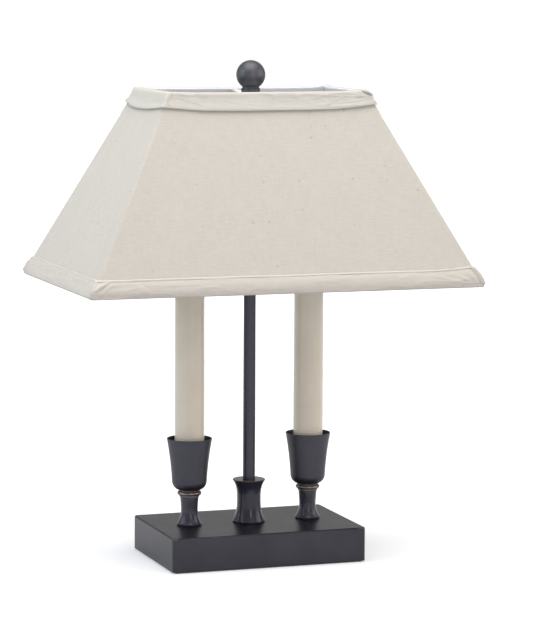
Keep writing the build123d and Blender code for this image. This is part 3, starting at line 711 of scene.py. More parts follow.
def cloth_mesh(
    name: str,
    rows: Sequence[Sequence[ClothPoint]],
    thickness: float,
    material: Material,
    closed: bool = False,
    offset: float = 0.0,
    gap: Callable[[int, int], bool] | None = None,
    even: bool = True,
    angle: float = 40.0,
) -> Object:
    """Makes a sheet of cloth with its thickness from rows of points.

    Args:
        name: The piece's name.
        rows: Points, row by row, each row as long as the next.
        thickness: The cloth's thickness.
        material: Its only material.
        closed: True where each row runs all round and meets its own start.
        offset: -1 where the points are the outer face, and 0 where they are the middle.
        gap: Says which faces are left open, by row and column.
        even: False where sharp folds would throw an even thickness far out.
        angle: Edges sharper than this many degrees stay sharp.

    Returns:
        The new object, with a map named cloth in metres and a map named zone.
    """
    mesh = bpy.data.meshes.new(name)
    shape = bmesh.new()
    chart = shape.loops.layers.uv.new("cloth")
    zones = shape.loops.layers.uv.new("zone")
    corners = [[shape.verts.new(point.place) for point in row] for row in rows]
    columns = len(rows[0])
    for row in range(len(rows) - 1):
        for column in range(columns if closed else columns - 1):
            if gap and gap(row, column):
                continue
            after = (column + 1) % columns
            keys = ((row, column), (row, after), (row + 1, after), (row + 1, column))
            face = shape.faces.new([corners[r][c] for r, c in keys])
            for loop, (r, c) in zip(face.loops, keys):
                across, along = rows[r][c].flat
                if after == c == 0:
                    last = rows[r][-1].flat[0]
                    across = last + (last - rows[r][-2].flat[0])
                loop[chart].uv = (across, along)
                loop[zones].uv = rows[r][c].zone
    loose = [vertex for vertex in shape.verts if not vertex.link_faces]
    bmesh.ops.delete(shape, geom=loose, context="VERTS")
    bmesh.ops.recalc_face_normals(shape, faces=shape.faces)
    shape.to_mesh(mesh)
    shape.free()
    piece = bpy.data.objects.new(name, mesh)
    bpy.context.scene.collection.objects.link(piece)
    solid = piece.modifiers.new("thickness", "SOLIDIFY")
    solid.thickness = thickness
    solid.offset = offset
    solid.use_even_offset = even
    solid.use_rim = True
    deselect_all()
    piece.select_set(True)
    bpy.context.view_layer.objects.active = piece
    bpy.ops.object.modifier_apply(modifier=solid.name)
    piece.data.materials.append(material)
    bpy.ops.object.shade_smooth_by_angle(angle=math.radians(angle))
    deselect_all()
    return piece


@dataclass
class Shade:
    """The linen shade: four stretched panels, a lining and two folded bands.

    Sizes are over the outer faces of the linen at its lowest and highest level.
    """

    bottom_height: float = 0.2908
    height: float = 0.1986
    bottom_length: float = 0.418
    bottom_depth: float = 0.266
    top_length: float = 0.212
    top_depth: float = 0.116
    linen_thickness: float = 0.0009
    lining_thickness: float = 0.0006
    lining_inset: float = 0.0048
    band_thickness: float = 0.0008
    band_height: float = 0.019
    linen_gap: float = 0.0017
    hip_radius: float = 0.0024
    lining_radius: float = 0.0028
    ring_level: float = 0.48575
    slack: float = 0.0005
    ripple: float = 0.00032
    hip_seam: float = 0.00028
    puff: float = 0.0012
    slit_half_width: float = 0.0055
    slit_drop: float = 0.0016

    @property
    def top_height(self) -> float:
        """Level of the shade's top edge."""
        return self.bottom_height + self.height

    @property
    def cloth_levels(self) -> tuple[float, float]:
        """Lowest and highest level of the linen and the lining, inside the bands."""
        return self.bottom_height + self.linen_gap, self.top_height - self.linen_gap

    @property
    def slopes(self) -> tuple[float, float]:
        """How far the end sides and the long sides lean in for each metre of height."""
        lean_x, lean_y = self.bottom_length - self.top_length, self.bottom_depth - self.top_depth
        return lean_x / 2 / self.height, lean_y / 2 / self.height

    def half_sizes(self, level: float, inset: float) -> tuple[float, float]:
        """Half length and half depth at a level, moved in square to the linen's outer faces.

        Args:
            level: Height over the floor.
            inset: Distance inwards, or outwards where it is below 0.

        Returns:
            The two half sizes.
        """
        climb = level - self.bottom_height
        slope_x, slope_y = self.slopes
        return (
            self.bottom_length / 2 - slope_x * climb - inset * math.hypot(1, slope_x),
            self.bottom_depth / 2 - slope_y * climb - inset * math.hypot(1, slope_y),
        )

    def point(self, station: Station, level: float, inset: float, radius: float) -> Vector:
        """Place of a station at a level and an inset."""
        half_x, half_y = self.half_sizes(level, inset)
        return Vector((*station.at(half_x, half_y, radius), level))

    def panel(self, side: Side, material: Material) -> None:
        """Makes one sloping side of linen, stretched from ring to ring and turned round its two hips.

        Args:
            side: Which side of the shade.
            material: The linen.
        """
        index, axis = side.value, side.axis
        before = corner_stations((index - 1) % 4, 6, 0.5, 1.0)
        stations = before[:-1] + side_stations(index, 61) + corner_stations(index, 6, 0.0, 0.5)[1:]
        low, high = self.cloth_levels
        stretch = math.hypot(1, self.slopes[1 - axis])
        rows = []
        for step in range(41):
            climb = step / 40
            level = low + (high - low) * climb
            along = (level - low) * stretch
            row = []
            for station in stations:
                sideways = self.point(station, level, 0.0, self.hip_radius)[axis]
                near_hip = 1.0 - abs(station.share)
                slack = math.sin(math.pi * climb) * min(1.0, near_hip * 6.0)
                ripple = noise.noise(Vector((sideways * 11.0, along * 9.0, 3.0 + index))) * self.ripple
                seam = self.hip_seam if station.bend == 0.5 else 0.0
                inset = self.slack * slack + ripple * min(1.0, near_hip * 8.0) + seam
                row.append(ClothPoint(self.point(station, level, inset, self.hip_radius), (sideways, along)))
            rows.append(row)
        piece = cloth_mesh(f"{side.word}_panel_cloth", rows, self.linen_thickness, material, offset=-1.0)
        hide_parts(f"{side.word}_linen_panel")
        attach(piece, "shade")

    def lining(self, material: Material) -> None:
        """Makes the white lining inside the frame, with a slit for each arm of the spider.

        Args:
            material: The lining cloth.
        """
        stations = ring_stations(41, 3)
        low, high = self.cloth_levels
        slit_foot = self.ring_level - self.slit_drop
        levels = [low + (slit_foot - low) * step / 22 for step in range(23)] + [high]
        middle = self.lining_inset + self.lining_thickness / 2
        rows = []
        for level in levels:
            share = (level - low) / (high - low)
            row = []
            travelled = 0.0
            last = None
            for station in stations:
                edge = 1.0 - abs(station.share)
                puff = noise.noise(Vector((station.share * 5.0 + 3.0 * station.side, level * 22.0, 7.3)))
                inset = middle + max(0.0, puff) * self.puff * math.sin(math.pi * share) * min(1.0, edge * 5.0)
                place = self.point(station, level, inset, self.lining_radius)
                travelled += (place - last).length if last else 0.0
                last = place
                row.append(ClothPoint(place, (travelled, level * 1.07)))
            rows.append(row)

        def slit(row: int, column: int) -> bool:
            """Says whether a face lies in a slit for the spider's arm.

            Args:
                row: The face's row.
                column: Its place in the row.

            Returns:
                True in a slit.
            """
            after = rows[row + 1][(column + 1) % len(stations)].place
            here = rows[row + 1][column].place
            in_slit = abs(here.x + after.x) / 2 < self.slit_half_width
            return row == len(levels) - 2 and stations[column].on_long_side and in_slit

        piece = cloth_mesh("lining_cloth", rows, self.lining_thickness, material, closed=True, gap=slit)
        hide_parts("shade_lining")
        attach(piece, "shade")


def smooth(value: float) -> float:
    """Eases a share from 0 to 1."""
    held = min(1.0, max(0.0, value))
    return held * held * (3.0 - 2.0 * held)


def pleat(distance: float, rise: float, drop: float) -> float:
    """Height of a lapped fold: a slow rise up to its edge, then a sharp drop.

    Args:
        distance: Distance past the fold's edge.
        rise: Length of the slope before the edge.
        drop: Length of the drop after it.

    Returns:
        Height from 0 to 1.
    """
    if distance < 0:
        return smooth(1.0 + distance / rise)
    return 1.0 - smooth(distance / drop)


@dataclass(frozen=True)
class Fold:
    """A lapped fold in a band near a corner of the shade.

    Its place is measured along the band from the corner's middle, and it leans across the band's width.
    """

    corner: int
    start: float
    lean: float
    rise: float
    drop: float
    height: float
    low: float = -0.2
    high: float = 1.2
    groove: float = 0.0007

    def lift(self, corner: int, along: float, across: float) -> float:
        """How far the fold lifts the band.

        Args:
            corner: The corner nearest to the point.
            along: Distance from that corner's middle, anticlockwise.
            across: Share of the band's width, 0 at its free edge and 1 at the shade's edge.

        Returns:
            The lift in metres.
        """
        if corner != self.corner:
            return 0.0
        window = smooth((across - self.low) / 0.16) * smooth((self.high - across) / 0.16)
        distance = math.copysign(1.0, self.rise) * (along - self.start - self.lean * across)
        hollow = math.exp(-(((distance - 1.5 * self.drop) / self.drop) ** 2))
        return window * (self.height * pleat(distance, abs(self.rise), self.drop) - self.groove * hollow)


@dataclass(frozen=True)
class Spot:
    """What a band has at one station: how far along it lies, the nearest corner, its height and its edge."""

    station: Station
    distance: float
    corner: int
    past_corner: float
    end: float
    height: float
    edge: float
    wave: float


@dataclass
class Band:
    """One of the two self-cloth bands that finish the shade's edges.

    Each profile point, from the turned-under edge round to the hem inside the shade, is an inset from the linen's
    outer face, a share of the visible height, and a distance past it towards the shade's edge, so that the band
    keeps its form where it narrows. Facing and seat each say where a change begins and over what distance it goes
    on: to the white facing, and to a hem that no longer follows the edge's rise.
    """

    shade: Shade
    name: str
    node: str
    edge_level: float
    direction: int
    profile: tuple[Place, ...]
    visible: tuple[int, int]
    folds: tuple[Fold, ...]
    corner_loss: tuple[tuple[float, float], ...]
    corner_radius: float
    wrinkle: float
    crease: float
    sag: float = 0.0
    corner_rise: tuple[float, float, float, float] = (0.0, 0.0, 0.0, 0.0)
    welt_highlight: tuple[int, int] | None = None
    slit_level: float | None = None
    ends: float = 0.75
    straight: int = 141
    corner: int = 11
    pitch: float = 0.0009
    facing: tuple[float, float] = (0.0050, 0.0008)
    seat: tuple[float, float] = (0.0012, 0.0014)
    linen_inset: float = -0.0006
    middle_inset: float = -0.0015
    least_radius: float = 0.0012
    arm_half_width: float = 0.0038
    slit_inset: float = 0.0060
    slit_half_height: float = 0.0009
    end_fade: float = 0.012
    wave: float = 0.0005
    corner_reach: float = 0.010

    def refined(self) -> tuple[list[Place], int, int]:
        """Adds points to the visible part of the profile along a smooth curve.

        Returns:
            The finer profile, and the places of its first and last visible points.
        """
        points = [Vector(point) for point in self.profile]
        first, last = self.visible
        made = [tuple(point) for point in points[:first]]
        for number in range(first, last):
            before, start, end, after = (points[k] for k in (number - 1, number, number + 1, number + 2))
            rise = (end.y - start.y) * self.shade.band_height + end.z - start.z
            steps = max(1, math.ceil(math.hypot(rise, end.x - start.x) / self.pitch))
            for step in range(steps):
                t = step / steps
                curve = 0.5 * (
                    2 * start
                    + (end - before) * t
                    + (2 * before - 5 * start + 4 * end - after) * t * t
                    + (3 * start - before - 3 * end + after) * t * t * t
                )
                made.append((curve.x, start.y + (end.y - start.y) * t, start.z + (end.z - start.z) * t))
        made += [tuple(point) for point in points[last:]]
        return made, first, len(made) - (len(points) - last)

    def looseness(self, distance: float, across: float) -> float:
        """How far loose cloth stands off at a point of a band.

        Args:
            distance: Distance along it.
            across: Share of its width.

        Returns:
            The height in metres.
        """
        seed = 11.0 * self.direction
        loose = noise.noise(Vector((distance * 28.0, across * 2.2, seed)))
        fine = noise.noise(Vector((distance * 95.0 + across * 2.0, across * 2.6, 3.0 * seed)))
        ridge = abs(noise.noise(Vector((distance * 21.0 + across * 0.9, across * 2.1 - distance * 9.0, 7.0 * seed))))
        return (loose + 0.4 * fine) * self.wrinkle + max(0.0, 1.0 - ridge / 0.09) * self.crease

    def spot(self, station: Station, distance: float, length: float, past_corners: list[float]) -> Spot:
        """Works out what the band has at one station.

        Args:
            station: The station.
            distance: How far along the band it lies.
            length: Length of its side of the shade.
            past_corners: Its distance past the middle of each corner.

        Returns:
            The spot.
        """
        past_corner = min(past_corners, key=abs)
        corner = past_corners.index(past_corner)
        # The band loses height towards the corners, and lies flatter on the shade's left and right ends.
        height = self.shade.band_height
        for number, share in ((station.side - 1, 1.0 + station.share), (station.side, 1.0 - station.share)):
            loss, reach = self.corner_loss[number % 4]
            height -= self.shade.band_height * loss * math.exp(-((share / 2 * length / reach) ** 1.4))
        on_end = station.side % 2 == 1 and station.bend == 0.0
        end = smooth((1.0 - abs(station.share)) * length / 2 / self.end_fade) if on_end else 0.0
        # The shade's edge rises at the corners and sags along the long sides.
        edge = self.corner_rise[corner] * math.exp(-((past_corner / self.corner_reach) ** 2))
        if station.on_long_side:
            edge -= self.sag * (1.0 - station.share**4)
        wave = noise.noise(Vector((distance * 12.0, 0.0, 41.0 * self.direction))) * self.wave
        return Spot(station, distance, corner, past_corner, end, height, edge, wave)

    def lay_out(self) -> tuple[list[Spot], float]:
        """Walks round the shade along the middle of a band.

        Returns:
            What the band has at each station, and its length all round.
        """
        mark = 0.0
        if self.slit_level:
            half_hem = self.shade.half_sizes(self.slit_level, HEM_INSET)[0]
            mark = self.arm_half_width / (half_hem - self.least_radius)
        stations = ring_stations(self.straight, self.corner, mark)
        level = self.edge_level - self.direction * self.shade.band_height / 2
        half_sizes = self.shade.half_sizes(level, 0.0)
        middles = [self.shade.point(s, level, self.middle_inset, self.corner_radius) for s in stations]
        travelled = [0.0]
        for one, other in zip(middles, middles[1:]):
            travelled.append(travelled[-1] + (other - one).length)
        total = travelled[-1] + (middles[0] - middles[-1]).length
        corners = [travelled[(self.straight + self.corner) * (k + 1) - (self.corner + 1) // 2] for k in range(4)]
        spots = []
        for station, distance in zip(stations, travelled):
            past_corners = [(distance - middle + total / 2) % total - total / 2 for middle in corners]
            spots.append(self.spot(station, distance, 2 * half_sizes[station.side % 2], past_corners))
        return spots, total

    def build(self, material: Material) -> None:
        """Makes the band.

        Args:
            material: Its cloth.
        """
        spots, total = self.lay_out()
        profile, first, last = self.refined()
        rows: list[list[ClothPoint]] = []
        across_flat = 0.0
        for number, (inset, share, past) in enumerate(profile):
            across = share if first <= number <= last else (0.0 if number < first else 1.0)
            show = smooth((number - first + 3) / 3) * smooth((last + 3 - number) / 3)
            seated = 1.0 - smooth((-past - self.seat[0]) / self.seat[1]) if number > last else share**3
            facing = smooth((inset - self.facing[0]) / self.facing[1]) if number > last else 0.0
            # The welted seam's rows get its painted highlight, faded out on the shade's left and right ends.
            welt_highlight = 1.0 if self.welt_highlight and self.welt_highlight[0] <= number < self.welt_highlight[1] else 0.0
            radius = max(self.least_radius, self.corner_radius - max(0.0, inset) * 0.55)
            places = []
            for spot in spots:
                lift = sum(fold.lift(spot.corner, spot.past_corner, across) for fold in self.folds) * show
                lift += self.looseness(spot.distance, across) * show * (1.0 - 0.5 * spot.end)
                lift += (1.0 - self.ends) * spot.end * min(0.0, inset - self.linen_inset)
                measured = -spot.height * (1.0 - share) + past + spot.wave * (1.0 - share) + spot.edge * seated
                level = self.edge_level + self.direction * measured
                places.append(self.shade.point(spot.station, level, inset - lift, radius))
            if rows:
                across_flat += (places[self.straight // 2] - rows[-1][self.straight // 2].place).length
            rows.append(
                [
                    ClothPoint(place, (spot.distance, across_flat), (facing, welt_highlight * (1.0 - spot.end)))
                    for place, spot in zip(places, spots)
                ]
            )

        def slit(number: int, column: int) -> bool:
            """Says whether a face lies in a slit for the spider's arm.

            Args:
                number: The face's row.
                column: Its place in the row.

            Returns:
                True in a slit.
            """
            if self.slit_level is None or number < last:
                return False
            ends = [rows[r][(column + c) % len(spots)].place for r in (number, number + 1) for c in (0, 1)]
            middle = sum(ends, Vector()) / 4
            in_hem = profile[number][0] > self.slit_inset and abs(middle.z - self.slit_level) < self.slit_half_height
            return spots[column].station.on_long_side and in_hem and abs(middle.x) < self.arm_half_width

        thickness = self.shade.band_thickness
        piece = cloth_mesh(self.name, rows, thickness, material, closed=True, gap=slit, even=False, angle=60.0)
        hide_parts(self.node)
        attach(piece, "shade")
        LOG.info("%s: strip %.0f x %.0f mm", piece.name, 1000 * total, 1000 * across_flat)


def top_band(shade: Shade) -> Band:
    """Band of the top edge: free edge below, bowed down between the corners.

    Args:
        shade: The shade that it goes round.

    Returns:
        The band.
    """
    profile = (
        (-0.0006, 0.0, 0.0085), (-0.0006, 0.0, 0.0050), (-0.0008, 0.0, 0.0024), (-0.0012, 0.0, 0.0009),
        (-0.0017, 0.0, 0.0002), (-0.0021, 0.0, 0.0003), (-0.0023, 0.0, 0.0011), (-0.0022, 0.07, 0.0011),
        (-0.0019, 0.17, 0.0008), (-0.0016, 0.3, 0.0004), (-0.0015, 0.5, 0.0), (-0.0016, 0.65, -0.0002),
        (-0.0018, 0.78, -0.0004), (-0.0019, 0.88, -0.0006), (-0.0017, 0.95, -0.0006), (-0.0012, 1.0, -0.0009),
        (-0.0004, 1.0, -0.0005), (0.0010, 1.0, -0.0004), (0.0030, 1.0, -0.0004), (0.0048, 1.0, -0.0005),
        (0.0060, 1.0, -0.0010),
        *((HEM_INSET, 1.0, past) for past in (-0.0018, -0.0026, -0.0047, -0.0078, -0.0108)),
    )
    folds = (
        Fold(3, 0.0024, -0.0004, 0.0085, 0.0017, 0.0012, groove=0.0),
        Fold(3, 0.0066, -0.0010, 0.0045, 0.0014, 0.0004, 0.0, 1.2, 0.0),
        Fold(3, -0.0165, 0.012, 0.007, 0.0020, 0.0003, 0.15, 0.9, 0.0),
        Fold(0, 0.0105, -0.0180, -0.0080, 0.0007, 0.0020, 0.60, 1.3, 0.0011),
        Fold(0, -0.0015, 0.0055, 0.006, 0.0010, 0.0007, 0.0, 0.75, 0.0002),
        Fold(0, -0.022, 0.010, 0.010, 0.0022, 0.0002, 0.1, 0.8, 0.0),
        Fold(0, -0.062, 0.045, 0.012, 0.0024, 0.0003, 0.15, 0.7, 0.0),
        Fold(0, -0.041, -0.028, 0.010, 0.0022, 0.0002, 0.2, 0.8, 0.0),
        Fold(1, 0.002, -0.002, 0.007, 0.0007, 0.0013),
        Fold(1, -0.014, 0.012, 0.007, 0.0010, 0.0008, 0.2, 1.0),
        Fold(2, -0.006, 0.007, 0.006, 0.0010, 0.0006, 0.1, 1.2, 0.0003),
        Fold(2, -0.014, -0.010, -0.008, 0.0012, 0.0005, 0.2, 0.9, 0.0003),
    )
    return Band(
        shade,
        name="top_band_cloth",
        node="shade_top_trim",
        edge_level=shade.top_height,
        direction=1,
        profile=profile,
        visible=(6, 15),
        folds=folds,
        corner_loss=((0.24, 0.03), (0.28, 0.022), (0.22, 0.02), (0.20, 0.03)),
        corner_radius=0.0042,
        wrinkle=0.0005,
        crease=0.0004,
        sag=0.00075,
        corner_rise=(0.0011, 0.0008, 0.0006, 0.0002),
        slit_level=shade.ring_level,
    )


def bottom_band(shade: Shade) -> Band:
    """Band of the bottom edge: a welted seam above, puffed, and rolled under the ring.

    Args:
        shade: The shade that it goes round.

    Returns:
        The band.
    """
    profile = (
        (-0.0006, 0.0, 0.0080), (-0.0006, 0.0, 0.0048), (-0.0006, 0.0, 0.0024), (-0.0007, 0.0, 0.0013),
        (-0.0009, 0.0, 0.0007), (-0.0013, 0.0, 0.0004), (-0.0017, 0.0, 0.0005), (-0.0019, 0.0, 0.0009),
        (-0.0019, 0.0, 0.0013), (-0.0017, 0.0, 0.0016), (-0.0015, 0.0, 0.0019), (-0.0016, 0.05, 0.0016),
        (-0.0021, 0.16, 0.0010), (-0.0025, 0.3, 0.0004), (-0.0026, 0.46, 0.0), (-0.0025, 0.58, 0.0),
        (-0.0020, 0.72, 0.0), (-0.0011, 0.85, -0.0002), (-0.0002, 0.96, -0.0004), (0.0009, 1.0, -0.0004),
        (0.0022, 1.0, -0.0003), (0.0036, 1.0, -0.0003), (0.0050, 1.0, -0.0005), (0.0060, 1.0, -0.0010),
        *((HEM_INSET, 1.0, past) for past in (-0.0022, -0.0050, -0.0080, -0.0108)),
    )
    folds = (
        Fold(3, 0.0125, -0.0175, 0.0060, 0.0020, 0.0011, -0.05, 0.60, 0.0006),
        Fold(3, 0.017, -0.008, 0.007, 0.0018, 0.0006, 0.25, 0.9, 0.0003),
        Fold(3, -0.0010, 0.0, 0.0045, 0.0016, 0.0007, -0.1, 1.1, 0.0003),
        Fold(3, 0.036, 0.030, 0.014, 0.0024, 0.0004, 0.1, 0.8, 0.0002),
        Fold(0, -0.0030, 0.0012, -0.0075, 0.0014, 0.0014, -0.3, 0.95, 0.0013),
        Fold(0, -0.0150, 0.0120, 0.006, 0.0018, 0.0004, 0.0, 0.8, 0.0001),
        Fold(0, -0.034, 0.030, 0.010, 0.0020, 0.0004, 0.1, 0.7, 0.0002),
        Fold(0, -0.070, 0.070, 0.014, 0.0024, 0.0005, 0.2, 0.75, 0.0002),
        Fold(1, 0.004, 0.003, 0.008, 0.0012, 0.0011, 0.0, 0.9),
        Fold(1, -0.012, 0.009, 0.007, 0.0012, 0.0008, 0.0, 0.8),
        Fold(2, -0.004, 0.006, 0.008, 0.0014, 0.0006, 0.0, 0.9, 0.0003),
        Fold(2, -0.016, -0.006, -0.007, 0.0014, 0.0005, 0.0, 0.8, 0.0003),
    )
    return Band(
        shade,
        name="bottom_band_cloth",
        node="shade_bottom_trim",
        edge_level=shade.bottom_height,
        direction=-1,
        profile=profile,
        visible=(10, 19),
        folds=folds,
        corner_loss=((-0.13, 0.022), (0.0, 0.02), (0.0, 0.02), (0.0, 0.02)),
        corner_radius=0.0050,
        wrinkle=0.0005,
        crease=0.00035,
        welt_highlight=(3, 10),
        ends=0.2,
    )


@dataclass
class BaseFelt:
    """Felt pad glued under the base."""

    length: float = 0.2036
    depth: float = 0.1336
    corner_radius: float = 0.001
    thickness: float = 0.0012

    def build(self, material: Material) -> None:
        """Makes the pad as a thin sheet with rounded corners.

        Args:
            material: The felt.
        """
        half_x, half_y, bend = self.length / 2 - 0.0003, self.depth / 2 - 0.0003, self.corner_radius
        turn = [math.sin(step * math.pi / 12) for step in range(7)]
        ends = [half_y - bend + bend * rise for rise in turn]
        levels = [-y for y in reversed(ends)] + [(half_y - bend) * step / 8 for step in range(-7, 8)] + ends
        rows = []
        for y in levels:
            past = max(0.0, abs(y) - half_y + bend)
            reach = half_x - bend + math.sqrt(max(0.0, bend * bend - past * past))
            xs = [reach * step / 14 for step in range(-14, 15)]
            rows.append([ClothPoint(Vector((x, y, self.thickness / 2)), (x, y)) for x in xs])
        piece = cloth_mesh("felt_pad", rows, self.thickness, material, angle=30.0)
        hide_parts("base_felt")
        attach(piece, "stand")
        LOG.info("%s: felt %.0f x %.0f mm", piece.name, 1000 * self.length, 1000 * self.depth)


def both(*names: str) -> list[str]:
    """Returns the names of the left and the right piece of each kind."""
    return [f"{side}_{name}" for name in names for side in ("left", "right")]


@dataclass
class Stand:
    """The rigid parts of the lamp, which keep their solids and get their finishes here."""

    effects: Effects
    candle_spacing: float = 0.131
    base_length: float = 0.210
    base_depth: float = 0.140
    base_top: float = 0.0365
    pedestal_top: float = 0.0816
    cup_rim: float = 0.128

    def paint(self, finish: Finish, slot: str, *names: str) -> None:
        """Makes a finish and gives it to solids.

        Args:
            finish: The finish.
            slot: The name of a material slot; not used.
            names: The solids' names.
        """
        material = finish.build(self.effects)
        for name in names:
            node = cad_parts[name]
            if not node.material_slots:
                node.data.materials.append(material)
            for place in node.material_slots:
                place.material = material
        LOG.info("%s: %s", material.name, ", ".join(names))

    def paint_base(self) -> None:
        """Paints the box, its weight, board and bushing."""
        box = BronzeFinish(
            "bronze_box",
            (0.0350, 0.0342, 0.0425),
            (0.0435, 0.0425, 0.0520),
            0.72,
            0.30,
            tint=0.74,
            bare=(0.17, 0.125, 0.10),
            edges=(BoxEdges(self.base_length / 2, self.base_depth / 2, self.base_top, 0.0019),),
            wear=0.7,
        )
        iron = SolidFinish("cast_weight", (0.17, 0.17, 0.18), (0.1, 0.1, 0.11), 0.62, 0.6, 0.02, 0.002, 0.0004)
        board = SolidFinish("fibre_board", (0.36, 0.25, 0.16), (0.27, 0.18, 0.11), 0.85, 0.0, 0.004, 0.0008, 0.0001)
        plastic = SolidFinish("black_plastic", (0.035, 0.035, 0.035), (0.02, 0.02, 0.02), 0.45)
        self.paint(box, "bronze_box", "base_shell")
        self.paint(iron, "cast_weight", "base_weight")
        self.paint(board, "fibre_board", "bottom_board")
        self.paint(plastic, "black_plastic", "cord_bushing")

    def paint_column(self) -> None:
        """Paints the pedestal, the rod, the finial and the metal inside them."""
        pedestal = BronzeFinish(
            "turned_bronze_centre",
            (0.0300, 0.0278, 0.0400),
            (0.0355, 0.0332, 0.0465),
            0.12,
            0.21,
            tint=0.6,
            turned_pitch=0.0011,
            edges=(
                Ring(0.0169, self.pedestal_top - 0.0003, 0.0012, 0.62),
                Ring(0.0112, self.pedestal_top, 0.0056, 0.52),
                Ring(0.0170, self.base_top + 0.0007, 0.0012, 0.36),
            ),
            wear=0.7,
        )
        rod = BronzeFinish("bronze_rod", (0.044, 0.042, 0.050), (0.051, 0.048, 0.057), 0.7, 0.34)
        finial = BronzeFinish(
            "turned_bronze_finial",
            (0.086, 0.085, 0.096),
            (0.094, 0.093, 0.105),
            0.62,
            0.42,
            edges=(Ring(0.0095, 0.4843, 0.0014, 0.5), Ring(0.009, 0.4905, 0.0011, 0.42)),
        )
        steel = SolidFinish("zinc_steel", (0.6, 0.6, 0.58), (0.42, 0.42, 0.41), 0.36, 1.0, 0.01, 0.0008, 0.00005)
        stud = SolidFinish("stud_brass", (0.6, 0.45, 0.25), (0.42, 0.31, 0.17), 0.34, 1.0, 0.008)
        self.paint(pedestal, "turned_bronze", "centre_pedestal")
        self.paint(rod, "bronze_rod", "centre_rod")
        self.paint(finial, "turned_bronze", "ball_finial")
        self.paint(steel, "zinc_steel", "centre_pipe", *both("pipe"), "base_washers", "base_nuts", "cup_locknuts")
        self.paint(stud, "socket_brass", "rod_top_stud")

    def paint_candles(self) -> None:
        """Paints the stems, cups and sleeves of both candles."""
        for side, sign in (("left", -1), ("right", 1)):
            centre = (sign * self.candle_spacing / 2, 0.0, 0.0)
            stem = BronzeFinish(
                f"turned_bronze_{side}",
                (0.039, 0.036, 0.051),
                (0.046, 0.043, 0.059),
                0.12,
                0.22,
                tint=0.65,
                turned_pitch=0.001,
                bare=(0.196, 0.152, 0.140),
                bare_roughness=0.31,
                centre=centre,
                edges=(
                    Ring(0.0110, 0.0704, 0.0040, 0.8),
                    Ring(0.0105, 0.0674, 0.0010, 0.4),
                    Ring(0.0131, self.base_top + 0.0014, 0.0013, 0.36),
                ),
            )
            cup = BronzeFinish(
                f"spun_bronze_{side}",
                (0.045, 0.044, 0.054),
                (0.055, 0.054, 0.065),
                0.65,
                0.42,
                turned_pitch=0.0016,
                centre=centre,
                edges=(Ring(0.0234, self.cup_rim, 0.0010, 0.42),),
            )
            self.paint(stem, "turned_bronze", f"{side}_stem")
            self.paint(cup, "spun_bronze", f"{side}_cup")
        ivory = SolidFinish(
            "ivory_sleeve", (0.684, 0.604, 0.476), (0.634, 0.555, 0.434), 0.32, 0.0, 0.05, 0.0011, 0.00005, coat=0.25
        )
        self.paint(ivory, "ivory_sleeve", *both("candle_sleeve"))

    def paint_sockets(self) -> None:
        """Paints the sockets, their keys, the bulbs and the wiring."""
        brass = SolidFinish(
            "socket_brass", (0.78, 0.6, 0.32), (0.62, 0.46, 0.23), 0.25, 1.0, 0.015, 0.0006, 0.00003, turned_pitch=0.001
        )
        liner = SolidFinish("fibre_liner", (0.5, 0.36, 0.22), (0.4, 0.28, 0.17), 0.8)
        black = SolidFinish("switch_plastic", (0.035, 0.033, 0.032), (0.022, 0.02, 0.02), 0.4)
        key = SolidFinish("key_plastic", (0.04, 0.032, 0.027), (0.025, 0.02, 0.017), 0.22, coat=0.3)
        cap = SolidFinish("bulb_aluminium", (0.8, 0.8, 0.81), (0.66, 0.66, 0.67), 0.28, 1.0)
        wire = SolidFinish("wire_plastic", (0.8, 0.78, 0.72), (0.72, 0.7, 0.64), 0.42)
        self.paint(brass, "socket_brass", *both("socket_cap", "socket_shell", "screw_shell", "centre_contact"))
        self.paint(liner, "fibre_liner", *both("socket_liner"))
        self.paint(black, "black_plastic", *both("switch_body"), "wire_splices")
        self.paint(key, "key_plastic", *both("switch_key"))
        self.paint(cap, "bulb_aluminium", *both("bulb_cap"))
        self.paint(FrostedGlassFinish("frosted_glass"), "frosted_glass", *both("bulb_glass"))
        self.paint(wire, "wire_plastic", *both("lamp_wires"))

    def paint_shade_frame(self) -> None:
        """Paints the wire frame of the shade and its spider."""
        enamel = SolidFinish("white_enamel", (0.84, 0.84, 0.81), (0.76, 0.76, 0.73), 0.3, coat=0.2)
        self.paint(enamel, "white_wire", "shade_bottom_ring", "shade_top_ring", "shade_corner_ribs", "shade_spider")

    def build(self) -> None:
        """Paints every rigid part."""
        self.paint_base()
        self.paint_column()
        self.paint_candles()
        self.paint_sockets()
        self.paint_shade_frame()


@dataclass(frozen=True)
class SoftLight:
    """A square or strip softbox that points at the lamp."""

    name: str
    place: Place
    width: float
    height: float
    power: float
    colour: Colour
    target: Place = (0.0, 0.0, 0.3)

    def build(self) -> None:
        """Puts the light in the studio."""
        data = bpy.data.lights.new(self.name, "AREA")
        data.shape = "RECTANGLE"
        data.size, data.size_y = self.width, self.height
        data.energy = self.power
        data.color = self.colour
        light = bpy.data.objects.new(self.name, data)
        light.location = self.place
        aim = Vector(self.target) - Vector(self.place)
        light.rotation_euler = aim.to_track_quat("-Z", "Y").to_euler()
        bpy.context.scene.collection.objects.link(light)


